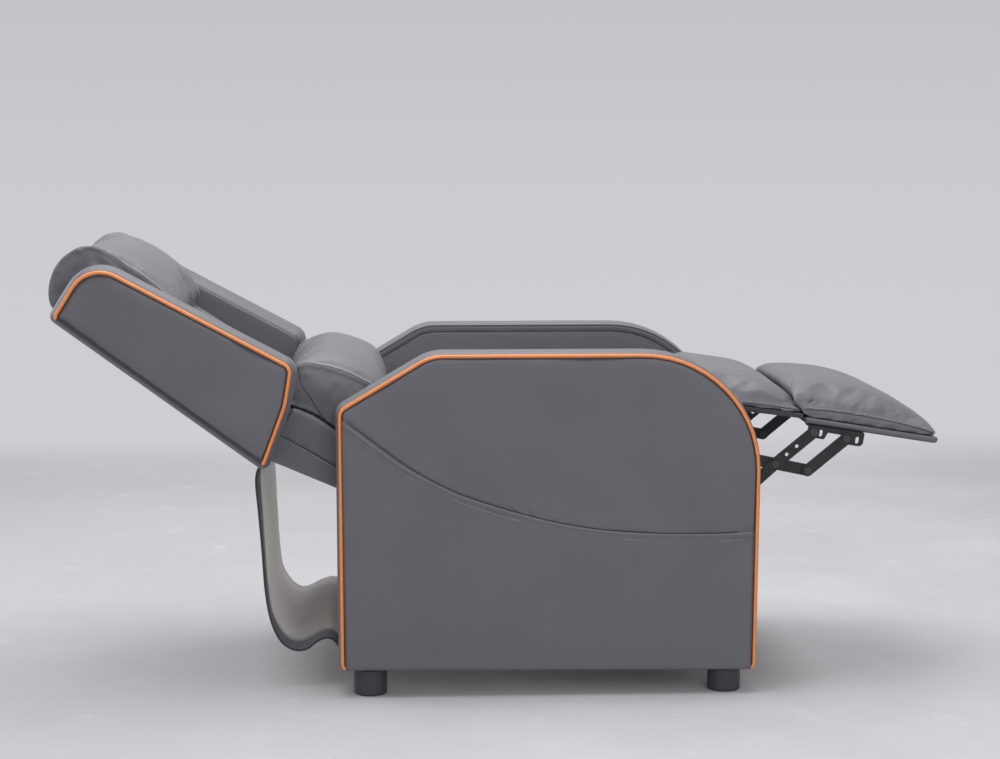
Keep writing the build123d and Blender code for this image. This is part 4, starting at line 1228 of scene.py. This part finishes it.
def padded_side(name, place, corners, radii, edge_levels, side, seam, wear):
    """An arm or a wing: a soft-edged block with a piped outer panel, seams, rubbed edges and painted shade
    beside the piping.
    """
    levels = [(d, side * y) for d, y in edge_levels]
    obj = slab(name, place, corners, radii, levels, finish_of("grey_leather"), (0.0, 1.6))
    points = mesh_points(obj)
    wave = rumple(points, 0.11, 1.5 * MM, 3 + side) + rumple(points, 0.035, 0.45 * MM, 5 + side)
    calm = np.clip((np.abs(points[:, 1]) - PANEL_START) / PANEL_FADE, 0, 1)
    points = swollen(obj, wave * np.clip(calm, INNER_WAVES, 1))
    set_points(obj, points)
    # Painted shade in a band beside the piping, between the distances given
    wide = np.abs(points[:, 1]) / MM
    painted_edge_shade = np.clip((wide - EDGE_SHADE_BAND[0]) / 0.5, 0, 1) * np.clip((EDGE_SHADE_BAND[1] - wide) / 0.8, 0, 1)
    set_attribute(obj, "painted_edge_shade", painted_edge_shade)
    mark_seam(obj, seam)
    edges = [ring_line(place, rounded(corners, radii, 2), side * y) for y in WORN_WIDTHS]
    edge_wear(obj, edges, 4.0, wear)
    return obj


def cushion(node, body, place, section, half, low, power, height, base, out, seed, share=0.955,
            creases=(), gusset=(), fold_half=0.0):
    """One cushion: loft, pressure, seams, creases and stitches.

    low and power say how its section shrinks to the ends, height and base keep its resting face
    flat along out, share is where the end seams lie. A pad has its seams on a gusset line, swells
    less, and its creases may stand at fold_half, without rolls.
    """
    name = f"{node}_cover"
    shape = bpy.context.scene.recliner_shape
    obj = loft(name, place, section, half - 4.0, low, power, 33, 5.0, finish_of("cushion_leather"))
    rings = [ring_line(place, section(fullness(share, low, power)), side * half * share)
             for side in (-1, 1)]
    if gusset:
        rings = [place(smooth_path(gusset, 8), side * half) for side in (-1, 1)]
    folds = []
    if creases:
        folds = [place(smooth_path(creases, 8), side * (fold_half or half)) for side in (-1, 1)]

    def pins(points):
        distance, _ = nearest(points, rings)
        resting = np.clip((base + 5 - height(points)) / 3, 0, 1)
        return np.maximum(resting, 0.85 * bell(distance, 0.009))

    inflate(obj, pins, shape.swell / MM * (PAD_SWELL if gusset else 1.0), shape.pressure)
    change(obj, "SUBSURF", levels=1, render_levels=1)
    sew(obj, rings + folds, 2.8, 3.2, 0.5 if gusset else 0.9, 26.0)
    points = mesh_points(obj)
    stand = np.clip((height(points) - base) / 12, 0, 1)
    waves = rumple(points, 0.11, 2.2 * MM, seed) + rumple(points, 0.04, 0.55 * MM, seed + 1)
    set_points(obj, swollen(obj, waves * stand))
    points = mesh_points(obj)
    short = np.clip(base - height(points), 0, None)
    set_points(obj, points + short[:, None] * MM * np.array(out))
    distance, _ = nearest(mesh_points(obj), rings)
    set_attribute(obj, "wear_and_painted_highlight", 0.65 * bell(distance - 0.008, 0.006) * stand)
    dress(obj, body, [node])
    rows, rolls = [], []
    for side, ring in zip((-1, 1), rings):
        beside = ring - np.array([0, side * 5.5 * MM, 0])
        if gusset:
            beside = place(smooth_path([(a, h + PAD_ROW_RISE) for a, h in gusset], 8), side * half)
        line = on_surface(obj, even(beside, spacing=0.004), 0.1)
        rows += runs_of(line, height(line) > base + 6)
        line = on_surface(obj, even(ring, spacing=0.004), -0.25)
        rolls += runs_of(line, height(line) > base + 2)
    stitches(f"{name}_stitches", rows, body)
    if not fold_half:
        rolls += [on_surface(obj, fold, -0.3) for fold in folds]
    seams(f"{name}_seams", rolls, body)


def cloth_sheet(name, lines, thick, painted_shade_strip=0.0, hem=14.0):
    """A thin cloth from lines across its width, with thick hems, and its flat size.

    The width given is that of the painted shade along the inner face's near edge, where the cloth keeps its
    dark outer colour.
    """
    grid = np.array(lines)
    rows, count = grid.shape[:2]
    total = rows * count
    normal = np.cross(np.gradient(grid, axis=1), np.gradient(grid, axis=0))
    normal /= np.linalg.norm(normal, axis=2)[:, :, None]
    across = np.linspace(0, 1, rows)
    width = np.abs(grid[-1, :, 1] - grid[0, :, 1]).mean() / MM
    edge = np.minimum(across, 1 - across) * width
    border = np.clip((hem - edge) / 2.0, 0, 1)[:, None] * np.ones(count)[None]
    half = normal * (thick * MM / 2 * (1 + 0.9 * border))[:, :, None]
    points = np.vstack([(grid + half).reshape(-1, 3), (grid - half).reshape(-1, 3)])
    faces = []
    for a, b, d, e in grid_faces(rows, count):
        faces += [(a, b, d, e), (total + e, total + d, total + b, total + a)]
    rim = grid_rim(rows, count)
    faces += [(rim[i], rim[i - 1], total + rim[i - 1], total + rim[i]) for i in range(len(rim))]
    obj = closed_object(name, new_mesh(name, points, faces), finish_of("curtain_cloth"))
    places = mesh_points(obj)
    hem_rows = int(rows * hem / width)
    distance, _ = nearest(places, [grid[hem_rows], grid[rows - 1 - hem_rows]])
    set_attribute(obj, "seam", 0.8 * bell(distance, 0.0022))
    across = (places[:, 1] - places[:, 1].min()) / MM
    # Painted shade: on the inner face near the near edge the cloth keeps the dark outer colour
    lit_lining = np.clip((across - painted_shade_strip) / SHADE_FADE_WIDTH, 0, 1) if painted_shade_strip else np.ones(len(places))
    tree = tree_of(points)
    inside = [lit_lining[i] if tree.find(p)[1] < total else 0.0 for i, p in enumerate(places)]
    set_attribute(obj, "inner", inside)
    set_attribute(obj, "painted_shade_strip", 1 - lit_lining)
    # Painted shade along the sheet's two edges
    set_attribute(obj, "painted_edge_shade", bell(np.minimum(across, across.max() - across), 2.2))
    flat = float(np.linalg.norm(np.diff(grid, axis=1), axis=2).sum(1).mean())
    wide = float(np.linalg.norm(np.diff(grid, axis=0), axis=2).sum(0).mean())
    return obj, (wide, flat)


# ---------------------------------------------------------------- settings
class ReclinerShape(bpy.types.PropertyGroup):
    """Sizes that change how soft and how finely sewn the recliner looks."""
    swell: FloatProperty(
        name="Cushion swell", description="Farthest that pressure moves a cushion's face",
        default=0.012, min=0.0, max=0.03, unit="LENGTH")
    pressure: FloatProperty(
        name="Cushion pressure", description="Pressure inside the cushions",
        default=4.0, min=0.0, max=10.0)
    piping: FloatProperty(
        name="Piping radius", description="Radius of the covered cord",
        default=0.0032, min=0.002, max=0.008, unit="LENGTH")
    pitch: FloatProperty(
        name="Stitch pitch", description="Distance from stitch to stitch",
        default=0.006, min=0.002, max=0.02, unit="LENGTH")
    thread: FloatProperty(
        name="Thread", description="Thickness of the thread",
        default=0.001, min=0.0003, max=0.003, unit="LENGTH")


def colour_property(name, description, default):
    """A colour that the user may change."""
    return FloatVectorProperty(name=name, description=description, default=default,
                               subtype="COLOR", size=3, min=0.0, max=1.0)


class ReclinerFinish(bpy.types.PropertyGroup):
    """Colours of the recliner's finishes."""
    grey: colour_property("Grey leather", "Arms and wings", (0.124, 0.1245, 0.1415))
    cushion: colour_property("Cushion leather", "Cushions and pads", (0.126, 0.1265, 0.1430))
    orange: colour_property("Piping", "Covered cord", (0.84, 0.262, 0.068))
    cloth: colour_property("Curtain", "Curtain behind the chair", (0.125, 0.127, 0.150))
    # Also sets how pale the painted highlight along the lower covers' lapped edges is
    wear: FloatProperty(
        name="Wear", description="How pale the rubbed edges are",
        default=0.6, min=0.0, max=1.0, subtype="FACTOR")


class ReclinerStage(bpy.types.PropertyGroup):
    """The room, the lamps and the camera."""
    floor: colour_property("Floor", "Colour of the floor", (0.56, 0.56, 0.585))
    backdrop: colour_property("Backdrop", "Colour of the wall", (0.575, 0.575, 0.60))
    key: FloatProperty(
        name="Key lamp", description="Power from which the three lamps take their shares",
        default=150.0, min=0.0)
    ambient: FloatProperty(
        name="Ambient", description="Strength of the room's own light", default=0.55, min=0.0)
    lens: FloatProperty(
        name="Lens", description="Focal length of the camera", default=85.0, min=20.0)
    shift: FloatProperty(
        name="Shift", description="Sideways shift of the camera", default=0.0, min=-0.1, max=0.1)
    turn: FloatProperty(
        name="Turn", description="How far the camera looks to the side",
        default=math.radians(-3.10), subtype="ANGLE")


# ---------------------------------------------------------------- operators
class RECLINER_OT_finishes(bpy.types.Operator):
    """Make the finishes and give them to the frame's own parts"""
    bl_idname = "recliner.finishes"
    bl_label = "Finishes"

    def execute(self, context):
        look = context.scene.recliner_finish
        leather("grey_leather", tuple(look.grey), look.wear)
        leather("cushion_leather", tuple(look.cushion), look.wear, 1.25)
        # Welts take a lighter copy of the grey leather: a painted highlight along the arms' inner top edges
        leather("welt_leather", tone(look.grey, 1.12), look.wear, 0.5)
        # Dark copy of the grey leather for the seam rolls: painted shade in the seams
        leather("seam_leather", tone(look.grey, 0.22), 0.0, 0.4)
        piping_leather("orange_piping", tuple(look.orange))
        moulded_plastic("black_plastic", PLASTIC_BLACK)
        dark_steel("dark_steel", STEEL_BLACK)
        dark_steel("rivet_steel", RIVET_BLACK, 0.10)
        woven("curtain_cloth", tuple(look.cloth), 1.5, LINING_WITH_PAINTED_LIGHT, 0.55)
        woven("rear_cloth", REAR_CLOTH, 1.2)
        woven("wrapped_board", BOARD_CLOTH, 0.9)
        webbing_strap("webbing", STRAP)
        planed_wood("frame_wood", SOFTWOOD)
        thread("grey_thread", THREAD)
        for finish, names in NODE_FINISHES.items():
            for name in names:
                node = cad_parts[name]
                if not node.material_slots:
                    node.data.materials.append(finish_of(finish))
                for slot in node.material_slots:
                    slot.material = finish_of(finish)
        return {"FINISHED"}


class RECLINER_OT_arms(bpy.types.Operator):
    """Make both arms with their lapped lower covers"""
    bl_idname = "recliner.arms"
    bl_label = "Arms"

    def execute(self, context):
        for side_name, side in SIDES.items():
            inner = rounded(ARM_CORNERS, ARM_RADII, ARM_SEAM)
            inner = ring_line(in_room, inner, side * INNER_FACE)
            lap = smooth_path([(x, z + LAP_RISE) for x, z in COVER_SEAM], 6)
            lap = in_room(lap, side * LAP_FACE)
            arm = padded_side(f"{side_name}_arm_pad", in_room, ARM_CORNERS, ARM_RADII, ARM_LEVELS,
                              side, [inner, lap], 0.5)
            dress(arm, "base", [f"{side_name}_arm"])
            row = rounded(ARM_CORNERS, ARM_RADII, ARM_ROW)
            row = on_surface(arm, ring_line(in_room, row, side * INNER_FACE))
            stitches(f"{side_name}_arm_inner_stitches", [row], "base")
            # Dark rolls paint the shade along the inner seam and a painted shadow above the lower cover's
            # lapped edge
            dark = [on_surface(arm, inner, -0.35), on_surface(arm, lap[2:-2], 0.1)]
            seams(f"{side_name}_arm_seams", dark, "base", 0.8)
            self.cover(side_name, side)
        return {"FINISHED"}

    def cover(self, side_name, side):
        """The lower part of the side panel, lapped over the upper one along a curved seam."""
        count = COVER_COLUMNS
        sole = np.linspace(*COVER_SOLE, count)
        seam = smooth_path(COVER_SEAM, 8)
        shrunk = inset(ARM_CORNERS, COVER_INSET)
        rear, front = shrunk[4][0], shrunk[0][0]
        lean = (shrunk[1][0] - front) / (shrunk[1][1] - shrunk[0][1])
        ends = [rear - (seam[0, 1] - sole[0]) * COVER_REAR_LEAN,
                front + (seam[-1, 1] - sole[-1]) * lean]
        seam[:, 0] = np.interp(seam[:, 0], [seam[0, 0], seam[-1, 0]], ends)
        columns = even(seam, count=count)
        base = np.stack([np.linspace(rear, front, count), sole], 1)
        face = [(share, COVER_FACE) for share in np.linspace(0.05, 0.97, COVER_ROWS)]
        profile = COVER_LIP + face + COVER_END
        points = []
        for share, level in profile:
            lift = np.full(count, level)
            lift[0] = lift[-1] = min(level, 348.0)
            lift[1] = lift[-2] = min(level, 350.0)
            points.append(in_room(columns + (base - columns) * share, side * lift))
        points = np.vstack(points)
        rim = grid_rim(len(profile), count)
        centre = points[rim].mean(0)
        centre[1] = side * COVER_BACK * MM
        faces = grid_faces(len(profile), count)
        faces += [(len(points), rim[(i + 1) % len(rim)], rim[i]) for i in range(len(rim))]
        name = f"{side_name}_arm_lower_panel"
        mesh = new_mesh(name, np.vstack([points, centre[None]]), faces)
        cover = closed_object(name, mesh, finish_of("grey_leather"))
        places = mesh_points(cover)
        wave = rumple(places, 0.13, 1.2 * MM, 11 + side) + rumple(places, 0.03, 0.3 * MM, 13)
        outer = np.clip((np.abs(places[:, 1]) - 0.3498) / 0.0008, 0, 1)
        places[:, 1] += side * (np.abs(wave) * 0.6 + wave * 0.25) * outer
        set_points(cover, places)
        distance, _ = nearest(mesh_points(cover), [in_room(columns, side * COVER_LAP_FACE)])
        # Painted highlight along the lapped edge, where it catches the light
        set_attribute(cover, "wear_and_painted_highlight", bell(distance - 0.003, 0.0026))
        set_attribute(cover, "seam", bell(distance - 0.0105, 0.0026) * 0.35)
        dress(cover, "base", [f"{side_name}_arm_lower_cover"])
        row = (columns + np.array([0, -COVER_ROW_DROP]))[3:-3]
        row = on_surface(cover, in_room(row, side * 351), 0.2)
        stitches(f"{side_name}_arm_lower_stitches", [row], "base")


class RECLINER_OT_wings(bpy.types.Operator):
    """Make both wings of the back"""
    bl_idname = "recliner.wings"
    bl_label = "Wings"

    def execute(self, context):
        for side_name, side in SIDES.items():
            inner = rounded(WING_CORNERS, WING_RADII, WING_SEAM)
            inner = ring_line(in_back, inner, side * WING_SEAM_FACE)
            wing = padded_side(f"{side_name}_wing_pad", in_back, WING_CORNERS, WING_RADII,
                               WING_LEVELS, side, [inner], 0.4)
            dress(wing, "back", [f"{side_name}_wing"])
            row = rounded(WING_CORNERS, WING_RADII, WING_ROW)
            row = on_surface(wing, ring_line(in_back, row, side * INNER_FACE))
            stitches(f"{side_name}_wing_stitches", [row], "back")
            # A dark roll paints the shade along the inner seam
            dark = [on_surface(wing, inner, -0.35)]
            seams(f"{side_name}_wing_seams", dark, "back", 0.8)
        return {"FINISHED"}


class RECLINER_OT_piping(bpy.types.Operator):
    """Run the orange piping round the arms and wings, and the thin welts along the arms"""
    bl_idname = "recliner.piping"
    bl_label = "Piping"

    def execute(self, context):
        radius = context.scene.recliner_shape.piping
        arm = rounded(ARM_CORNERS, ARM_RADII, PIPING_INSET)[4:-4]
        wing = rounded(WING_CORNERS, WING_RADII, PIPING_INSET)
        wing = wing[19:] + wing[:5]
        paths = {"arm": (in_room, "base", arm), "wing": (in_back, "back", wing)}
        welted = np.array(rounded(ARM_CORNERS, ARM_RADII, WELT_INSET)[16:-16])
        for side_name, side in SIDES.items():
            for part, (place, body, line) in paths.items():
                path = even(place(np.array(line), side * PIPING_HALF), spacing=0.006)
                name = f"{side_name}_{part}_bead"
                bead = tube(name, path, radius, finish_of("orange_piping"), 14)
                dress(bead, body, [f"{side_name}_{part}_piping"])
            # The welt's pale leather is a painted highlight
            path = even(in_room(welted, side * WELT_HALF), spacing=0.007)
            welt = tube(f"{side_name}_arm_welt", path, WELT_RADIUS, finish_of("welt_leather"), 8)
            dress(welt, "base")
        return {"FINISHED"}


class RECLINER_OT_back(bpy.types.Operator):
    """Make the back's pad, its lower box and the cover of its rear"""
    bl_idname = "recliner.back"
    bl_label = "Back"

    def execute(self, context):
        self.box()
        pad = loft("back_pad_cover", in_back, back_section, CUSHION_HALF - 0.5, 0.2, 2.6, 49, 1.0,
                   finish_of("cushion_leather"))
        rings = [ring_line(in_back, back_section(0.3), side * PAD_SEAM_FACE) for side in (-1, 1)]
        sew(pad, rings, 1.2, 2.5, 0.4)
        set_attribute(pad, "wear_and_painted_highlight", np.zeros(len(pad.data.vertices)))
        dress(pad, "back", ["back_pad"])
        self.rear()
        return {"FINISHED"}

    def box(self):
        """The padded lower box, with a side seam and a row of stitches above it."""
        half = BOX_HALF
        levels = [(7, -half), (3, -half + 0.9), (0.8, -half + 3.4), (0, -half + 8)]
        levels += [(0, y) for y in np.linspace(-half + 20, half - 20, 15)]
        levels += [(d, -y) for d, y in reversed(levels[:4])]
        box = slab("back_box_pad", in_back, BOX_CORNERS, BOX_RADII, levels,
                   finish_of("grey_leather"), (0.8, 0.8))
        side_seams, edges = [], []
        for side in (-1, 1):
            side_seams.append(in_back(smooth_path(BOX_SIDE_SEAM, 12), side * half))
            edge = rounded(BOX_CORNERS, BOX_RADII, 1)
            edges.append(ring_line(in_back, edge, side * (half - 2)))
        lower = in_back([BOX_LOWER_SEAM] * 2, [-half + 10, half - 10])
        mark_seam(box, side_seams + [lower])
        edge_wear(box, edges)
        dress(box, "back", ["back_lower_box"])
        dark = [on_surface(box, line, -0.2) for line in side_seams]
        seams("back_box_seams", dark, "back")
        drop = np.array([0, 0, BOX_ROW_DROP * MM])
        rows = [on_surface(box, line - drop, 0.2) for line in side_seams]
        stitches("back_box_stitches", rows, "back")

    def rear(self):
        """The cloth cover of the back's rear, with a seam round it and one down its middle."""
        rear = slab("back_rear_cover", on_rear, REAR_CORNERS, REAR_RADII, REAR_LEVELS,
                    finish_of("rear_cloth"), (0.0, 4.5))
        frame_line = fillet(inset(REAR_CORNERS, REAR_SEAM), [6] * 4)
        seam = [ring_line(on_rear, frame_line, -49.6),
                on_rear(straight((660, 0), (270, 0), 20), -52.5)]
        mark_seam(rear, seam, 1.2, 2.4)
        dress(rear, "back", ["back_rear_panel"])
        row = fillet(inset(REAR_CORNERS, REAR_ROW), [6] * 4)
        rows = [on_surface(rear, ring_line(on_rear, row, -50))]
        for y in (-5, 5):
            rows.append(on_surface(rear, on_rear(straight((655, y), (275, y), 40), -52)))
        stitches("back_rear_stitches", rows, "back")
        dark = [on_surface(rear, line, -0.2) for line in seam]
        seams("back_rear_seams", dark, "back")


class RECLINER_OT_cushions(bpy.types.Operator):
    """Make the seat, lumbar and head cushions and both footrest pads"""
    bl_idname = "recliner.cushions"
    bl_label = "Cushions"

    def execute(self, context):
        cushion("lumbar_cushion", "back", in_back, lumbar_section, CUSHION_HALF, 0.62, 2.3,
                lumbar_room, LUMBAR_REST, OUT_OF_BACK, 21, creases=LUMBAR_CREASE)
        cushion("head_cushion", "back", in_back, head_section, CUSHION_HALF, 0.5, 2.3, head_room,
                HEAD_REST, OUT_OF_BACK, 23)
        cushion("seat_cushion", "base", in_room, seat_section, BOX_HALF, 0.2, 2.6,
                lambda points: points[:, 2] / MM, SEAT_REST, (0, 0, 1), 25)
        height, out = board_room(REST_ORIGIN, REST_END)
        cushion("footrest_pad", "footrest", on_footrest, rest_section, PAD_HALF, 0.12, 3.8, height,
                REST_BOARD + PAD_GAP, out, 27, 0.995, REST_CREASE, REST_GUSSET, REST_FOLD_HALF)
        height, out = board_room(LEG_ORIGIN, LEG_END)
        cushion("leg_pad", "leg_rest", on_leg_pad, leg_section, PAD_HALF, 0.1, 3.8, height,
                LEG_BOARD + PAD_GAP, out, 29, 0.995, (), LEG_GUSSET)
        self.board()
        return {"FINISHED"}

    def board(self):
        """The footrest's board, wrapped in leather with a seam along each end."""
        half = PAD_HALF
        levels = [(2.4, -half), (0.8, -half + 0.8), (0, -half + 3)]
        levels += [(0, y) for y in np.linspace(-half + 12, half - 12, 9)]
        levels += [(d, -y) for d, y in reversed(levels[:3])]
        board = slab("footrest_board_cover", on_footrest, BOARD_CORNERS, [3, 7, 3, 3], levels,
                     finish_of("cushion_leather"), (0.6, 0.6))
        lines = [on_footrest(straight((4, 2.2), (254, 2.2), 30), side * half) for side in (-1, 1)]
        distance, _ = nearest(mesh_points(board), lines)
        set_attribute(board, "seam", 0.9 * bell(distance, 0.0016))
        dress(board, "footrest", ["footrest_board"])


class RECLINER_OT_cloths(bpy.types.Operator):
    """Hang the curtain behind the chair and the apron between back and seat"""
    bl_idname = "recliner.cloths"
    bl_label = "Curtain and apron"

    def execute(self, context):
        root = self.root()
        near = even(smooth_path([root] + CURTAIN_NEAR, 10), count=CURTAIN_ROWS)
        far = even(smooth_path([root] + CURTAIN_FAR, 10), count=CURTAIN_ROWS)
        half = CURTAIN_HALF
        run = np.linspace(0, 1, CURTAIN_ROWS)
        lines = []
        for y in np.linspace(-half, half, CURTAIN_COLUMNS):
            share = (y + half) / (2 * half)
            curl = 1 - math.exp(-(y + half) / 34)
            side = near + (far - near) * (0.72 * curl + 0.28 * share)
            ripple = 2.6 * math.sin(y * 0.047 + 0.8) + 1.3 * math.sin(y * 0.117)
            upper, lower = np.clip(run * 1.4, 0, 1), np.clip((run - 0.55) / 0.45, 0, 1)
            side[:, 0] += ripple * np.sin(np.pi * upper) ** 1.5
            side[:, 1] += 0.8 * ripple * np.sin(np.pi * lower) ** 1.5
            lines.append(in_room(side, y))
        curtain, flat = cloth_sheet("rear_curtain_cloth", lines, 1.6, CURTAIN_SHADE_WIDTH)
        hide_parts("rear_curtain")
        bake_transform(curtain, "base", "back", (-0.38, 0, 0.10), (-0.434, 0, 0.425))

        on_box = [tuple(in_back([p], 0)[0, [0, 2]] / MM) for p in APRON_ON_BOX]
        path = even(smooth_path(on_box + APRON_TO_SEAT, 10), count=APRON_ROWS)
        droop = np.sin(np.linspace(0, math.pi, APRON_ROWS)) ** 2
        lines = []
        for y in np.linspace(-APRON_HALF, APRON_HALF, APRON_COLUMNS):
            side = path.copy()
            side[:, 1] += 2.0 * math.sin(y * 0.033) * droop
            lines.append(in_room(side, y))
        apron, flat = cloth_sheet("seat_apron_cloth", lines, 2.0)
        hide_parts("seat_apron")
        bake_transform(apron, "back", "base", tuple(in_back(APRON_ON_BOX[-1:], 0)[0]), (-0.02, 0.0, 0.50))
        return {"FINISHED"}

    def root(self):
        """Where the curtain leaves the box's lower face."""
        u, v = 232 + (80 - 232) * 0.03, -49 + (-11 + 49) * 0.03
        x, _, z = in_back([(u, v)], 0)[0] / MM
        return (x, z - 1.0)


class RECLINER_OT_stage(bpy.types.Operator):
    """Make the floor, the backdrop, the lamps and the camera"""
    bl_idname = "recliner.stage"
    bl_label = "Stage"

    def execute(self, context):
        scene, stage = context.scene, context.scene.recliner_stage
        self.floor(stage)
        for name, (place, aim, share, width, height) in LAMPS.items():
            data = bpy.data.lights.new(name, "AREA")
            data.shape = "RECTANGLE"
            data.size, data.size_y, data.energy = width, height, stage.key * share
            lamp = put(name, data)
            lamp.location = place
            lamp.rotation_euler = (Vector(aim) - Vector(place)).to_track_quat("-Z", "Y").to_euler()
        scene.world = self.world(stage)
        scene.view_settings.view_transform = "Standard"
        data = bpy.data.cameras.new("camera")
        data.lens, data.sensor_width, data.shift_x = stage.lens, 36, stage.shift
        camera = put("camera", data)
        camera.location = CAMERA_PLACE
        camera.rotation_euler = (CAMERA_TILT, 0.0, stage.turn)
        scene.camera = camera
        return {"FINISHED"}

    def floor(self, stage):
        """A floor that turns up into the backdrop."""
        line = [(FLOOR_NEAR, 0.0), (COVE_START, 0.0)]
        line += [(COVE_START + COVE_RADIUS * math.sin(a), COVE_RADIUS - COVE_RADIUS * math.cos(a))
                 for a in np.linspace(0, math.pi / 2, 16)[1:]]
        line += [(COVE_START + COVE_RADIUS, WALL_TOP)]
        points = [(x, y, z) for y, z in line for x in (-FLOOR_HALF, FLOOR_HALF)]
        faces = [(i, i + 1, i + 3, i + 2) for i in range(0, len(points) - 2, 2)]
        mesh = new_mesh("studio_floor", points, faces)
        mesh.shade_smooth()
        paint = studio_floor("studio_floor", tuple(stage.floor), tuple(stage.backdrop))
        mesh.materials.append(paint)
        put("studio_floor", mesh)

    def world(self, stage):
        """Plain light for the object, and the backdrop's colour for what looks past it."""
        world = bpy.data.worlds.new("studio")
        world.use_nodes = True
        tree = world.node_tree
        tree.nodes.clear()
        rays = tree.nodes.new("ShaderNodeLightPath")
        seen = tree.nodes.new("ShaderNodeMath")
        seen.operation = "MAXIMUM"
        plain = tree.nodes.new("ShaderNodeBackground")
        pale = tree.nodes.new("ShaderNodeBackground")
        plain.inputs[0].default_value = (1, 1, 1, 1)
        plain.inputs[1].default_value = stage.ambient
        pale.inputs[0].default_value = (*stage.backdrop, 1)
        mixer = tree.nodes.new("ShaderNodeMixShader")
        output = tree.nodes.new("ShaderNodeOutputWorld")
        tree.links.new(rays.outputs["Is Camera Ray"], seen.inputs[0])
        tree.links.new(rays.outputs["Is Glossy Ray"], seen.inputs[1])
        for place, node in enumerate((seen, plain, pale)):
            tree.links.new(node.outputs[0], mixer.inputs[place])
        tree.links.new(mixer.outputs[0], output.inputs[0])
        return world


class RECLINER_PT_panel(bpy.types.Panel):
    """Lists the recliner's pieces and their settings"""
    bl_idname = "RECLINER_PT_panel"
    bl_label = "Recliner"
    bl_space_type = "VIEW_3D"
    bl_region_type = "UI"
    bl_category = "Recliner"

    def draw(self, context):
        scene = context.scene
        for group in (scene.recliner_shape, scene.recliner_finish, scene.recliner_stage):
            box = self.layout.box()
            for key in group.__annotations__:
                box.prop(group, key)
        for operator in OPERATORS:
            self.layout.operator(operator.bl_idname)


OPERATORS = (RECLINER_OT_finishes, RECLINER_OT_arms, RECLINER_OT_wings, RECLINER_OT_piping,
             RECLINER_OT_back, RECLINER_OT_cushions, RECLINER_OT_cloths, RECLINER_OT_stage)
GROUPS = {"recliner_shape": ReclinerShape, "recliner_finish": ReclinerFinish,
          "recliner_stage": ReclinerStage}
CLASSES = (*GROUPS.values(), *OPERATORS, RECLINER_PT_panel)


def register():
    for cls in CLASSES:
        bpy.utils.register_class(cls)
    for name, group in GROUPS.items():
        setattr(bpy.types.Scene, name, PointerProperty(type=group))


def unregister():
    for name in GROUPS:
        delattr(bpy.types.Scene, name)
    for cls in CLASSES[::-1]:
        bpy.utils.unregister_class(cls)


def main():
    """Registers the add-on and makes every piece in order."""
    register()
    pieces = bpy.ops.recliner
    for make in (pieces.finishes, pieces.arms, pieces.wings, pieces.piping, pieces.back,
                 pieces.cushions, pieces.cloths, pieces.stage):
        make()


if __name__ == "__main__":
    main()
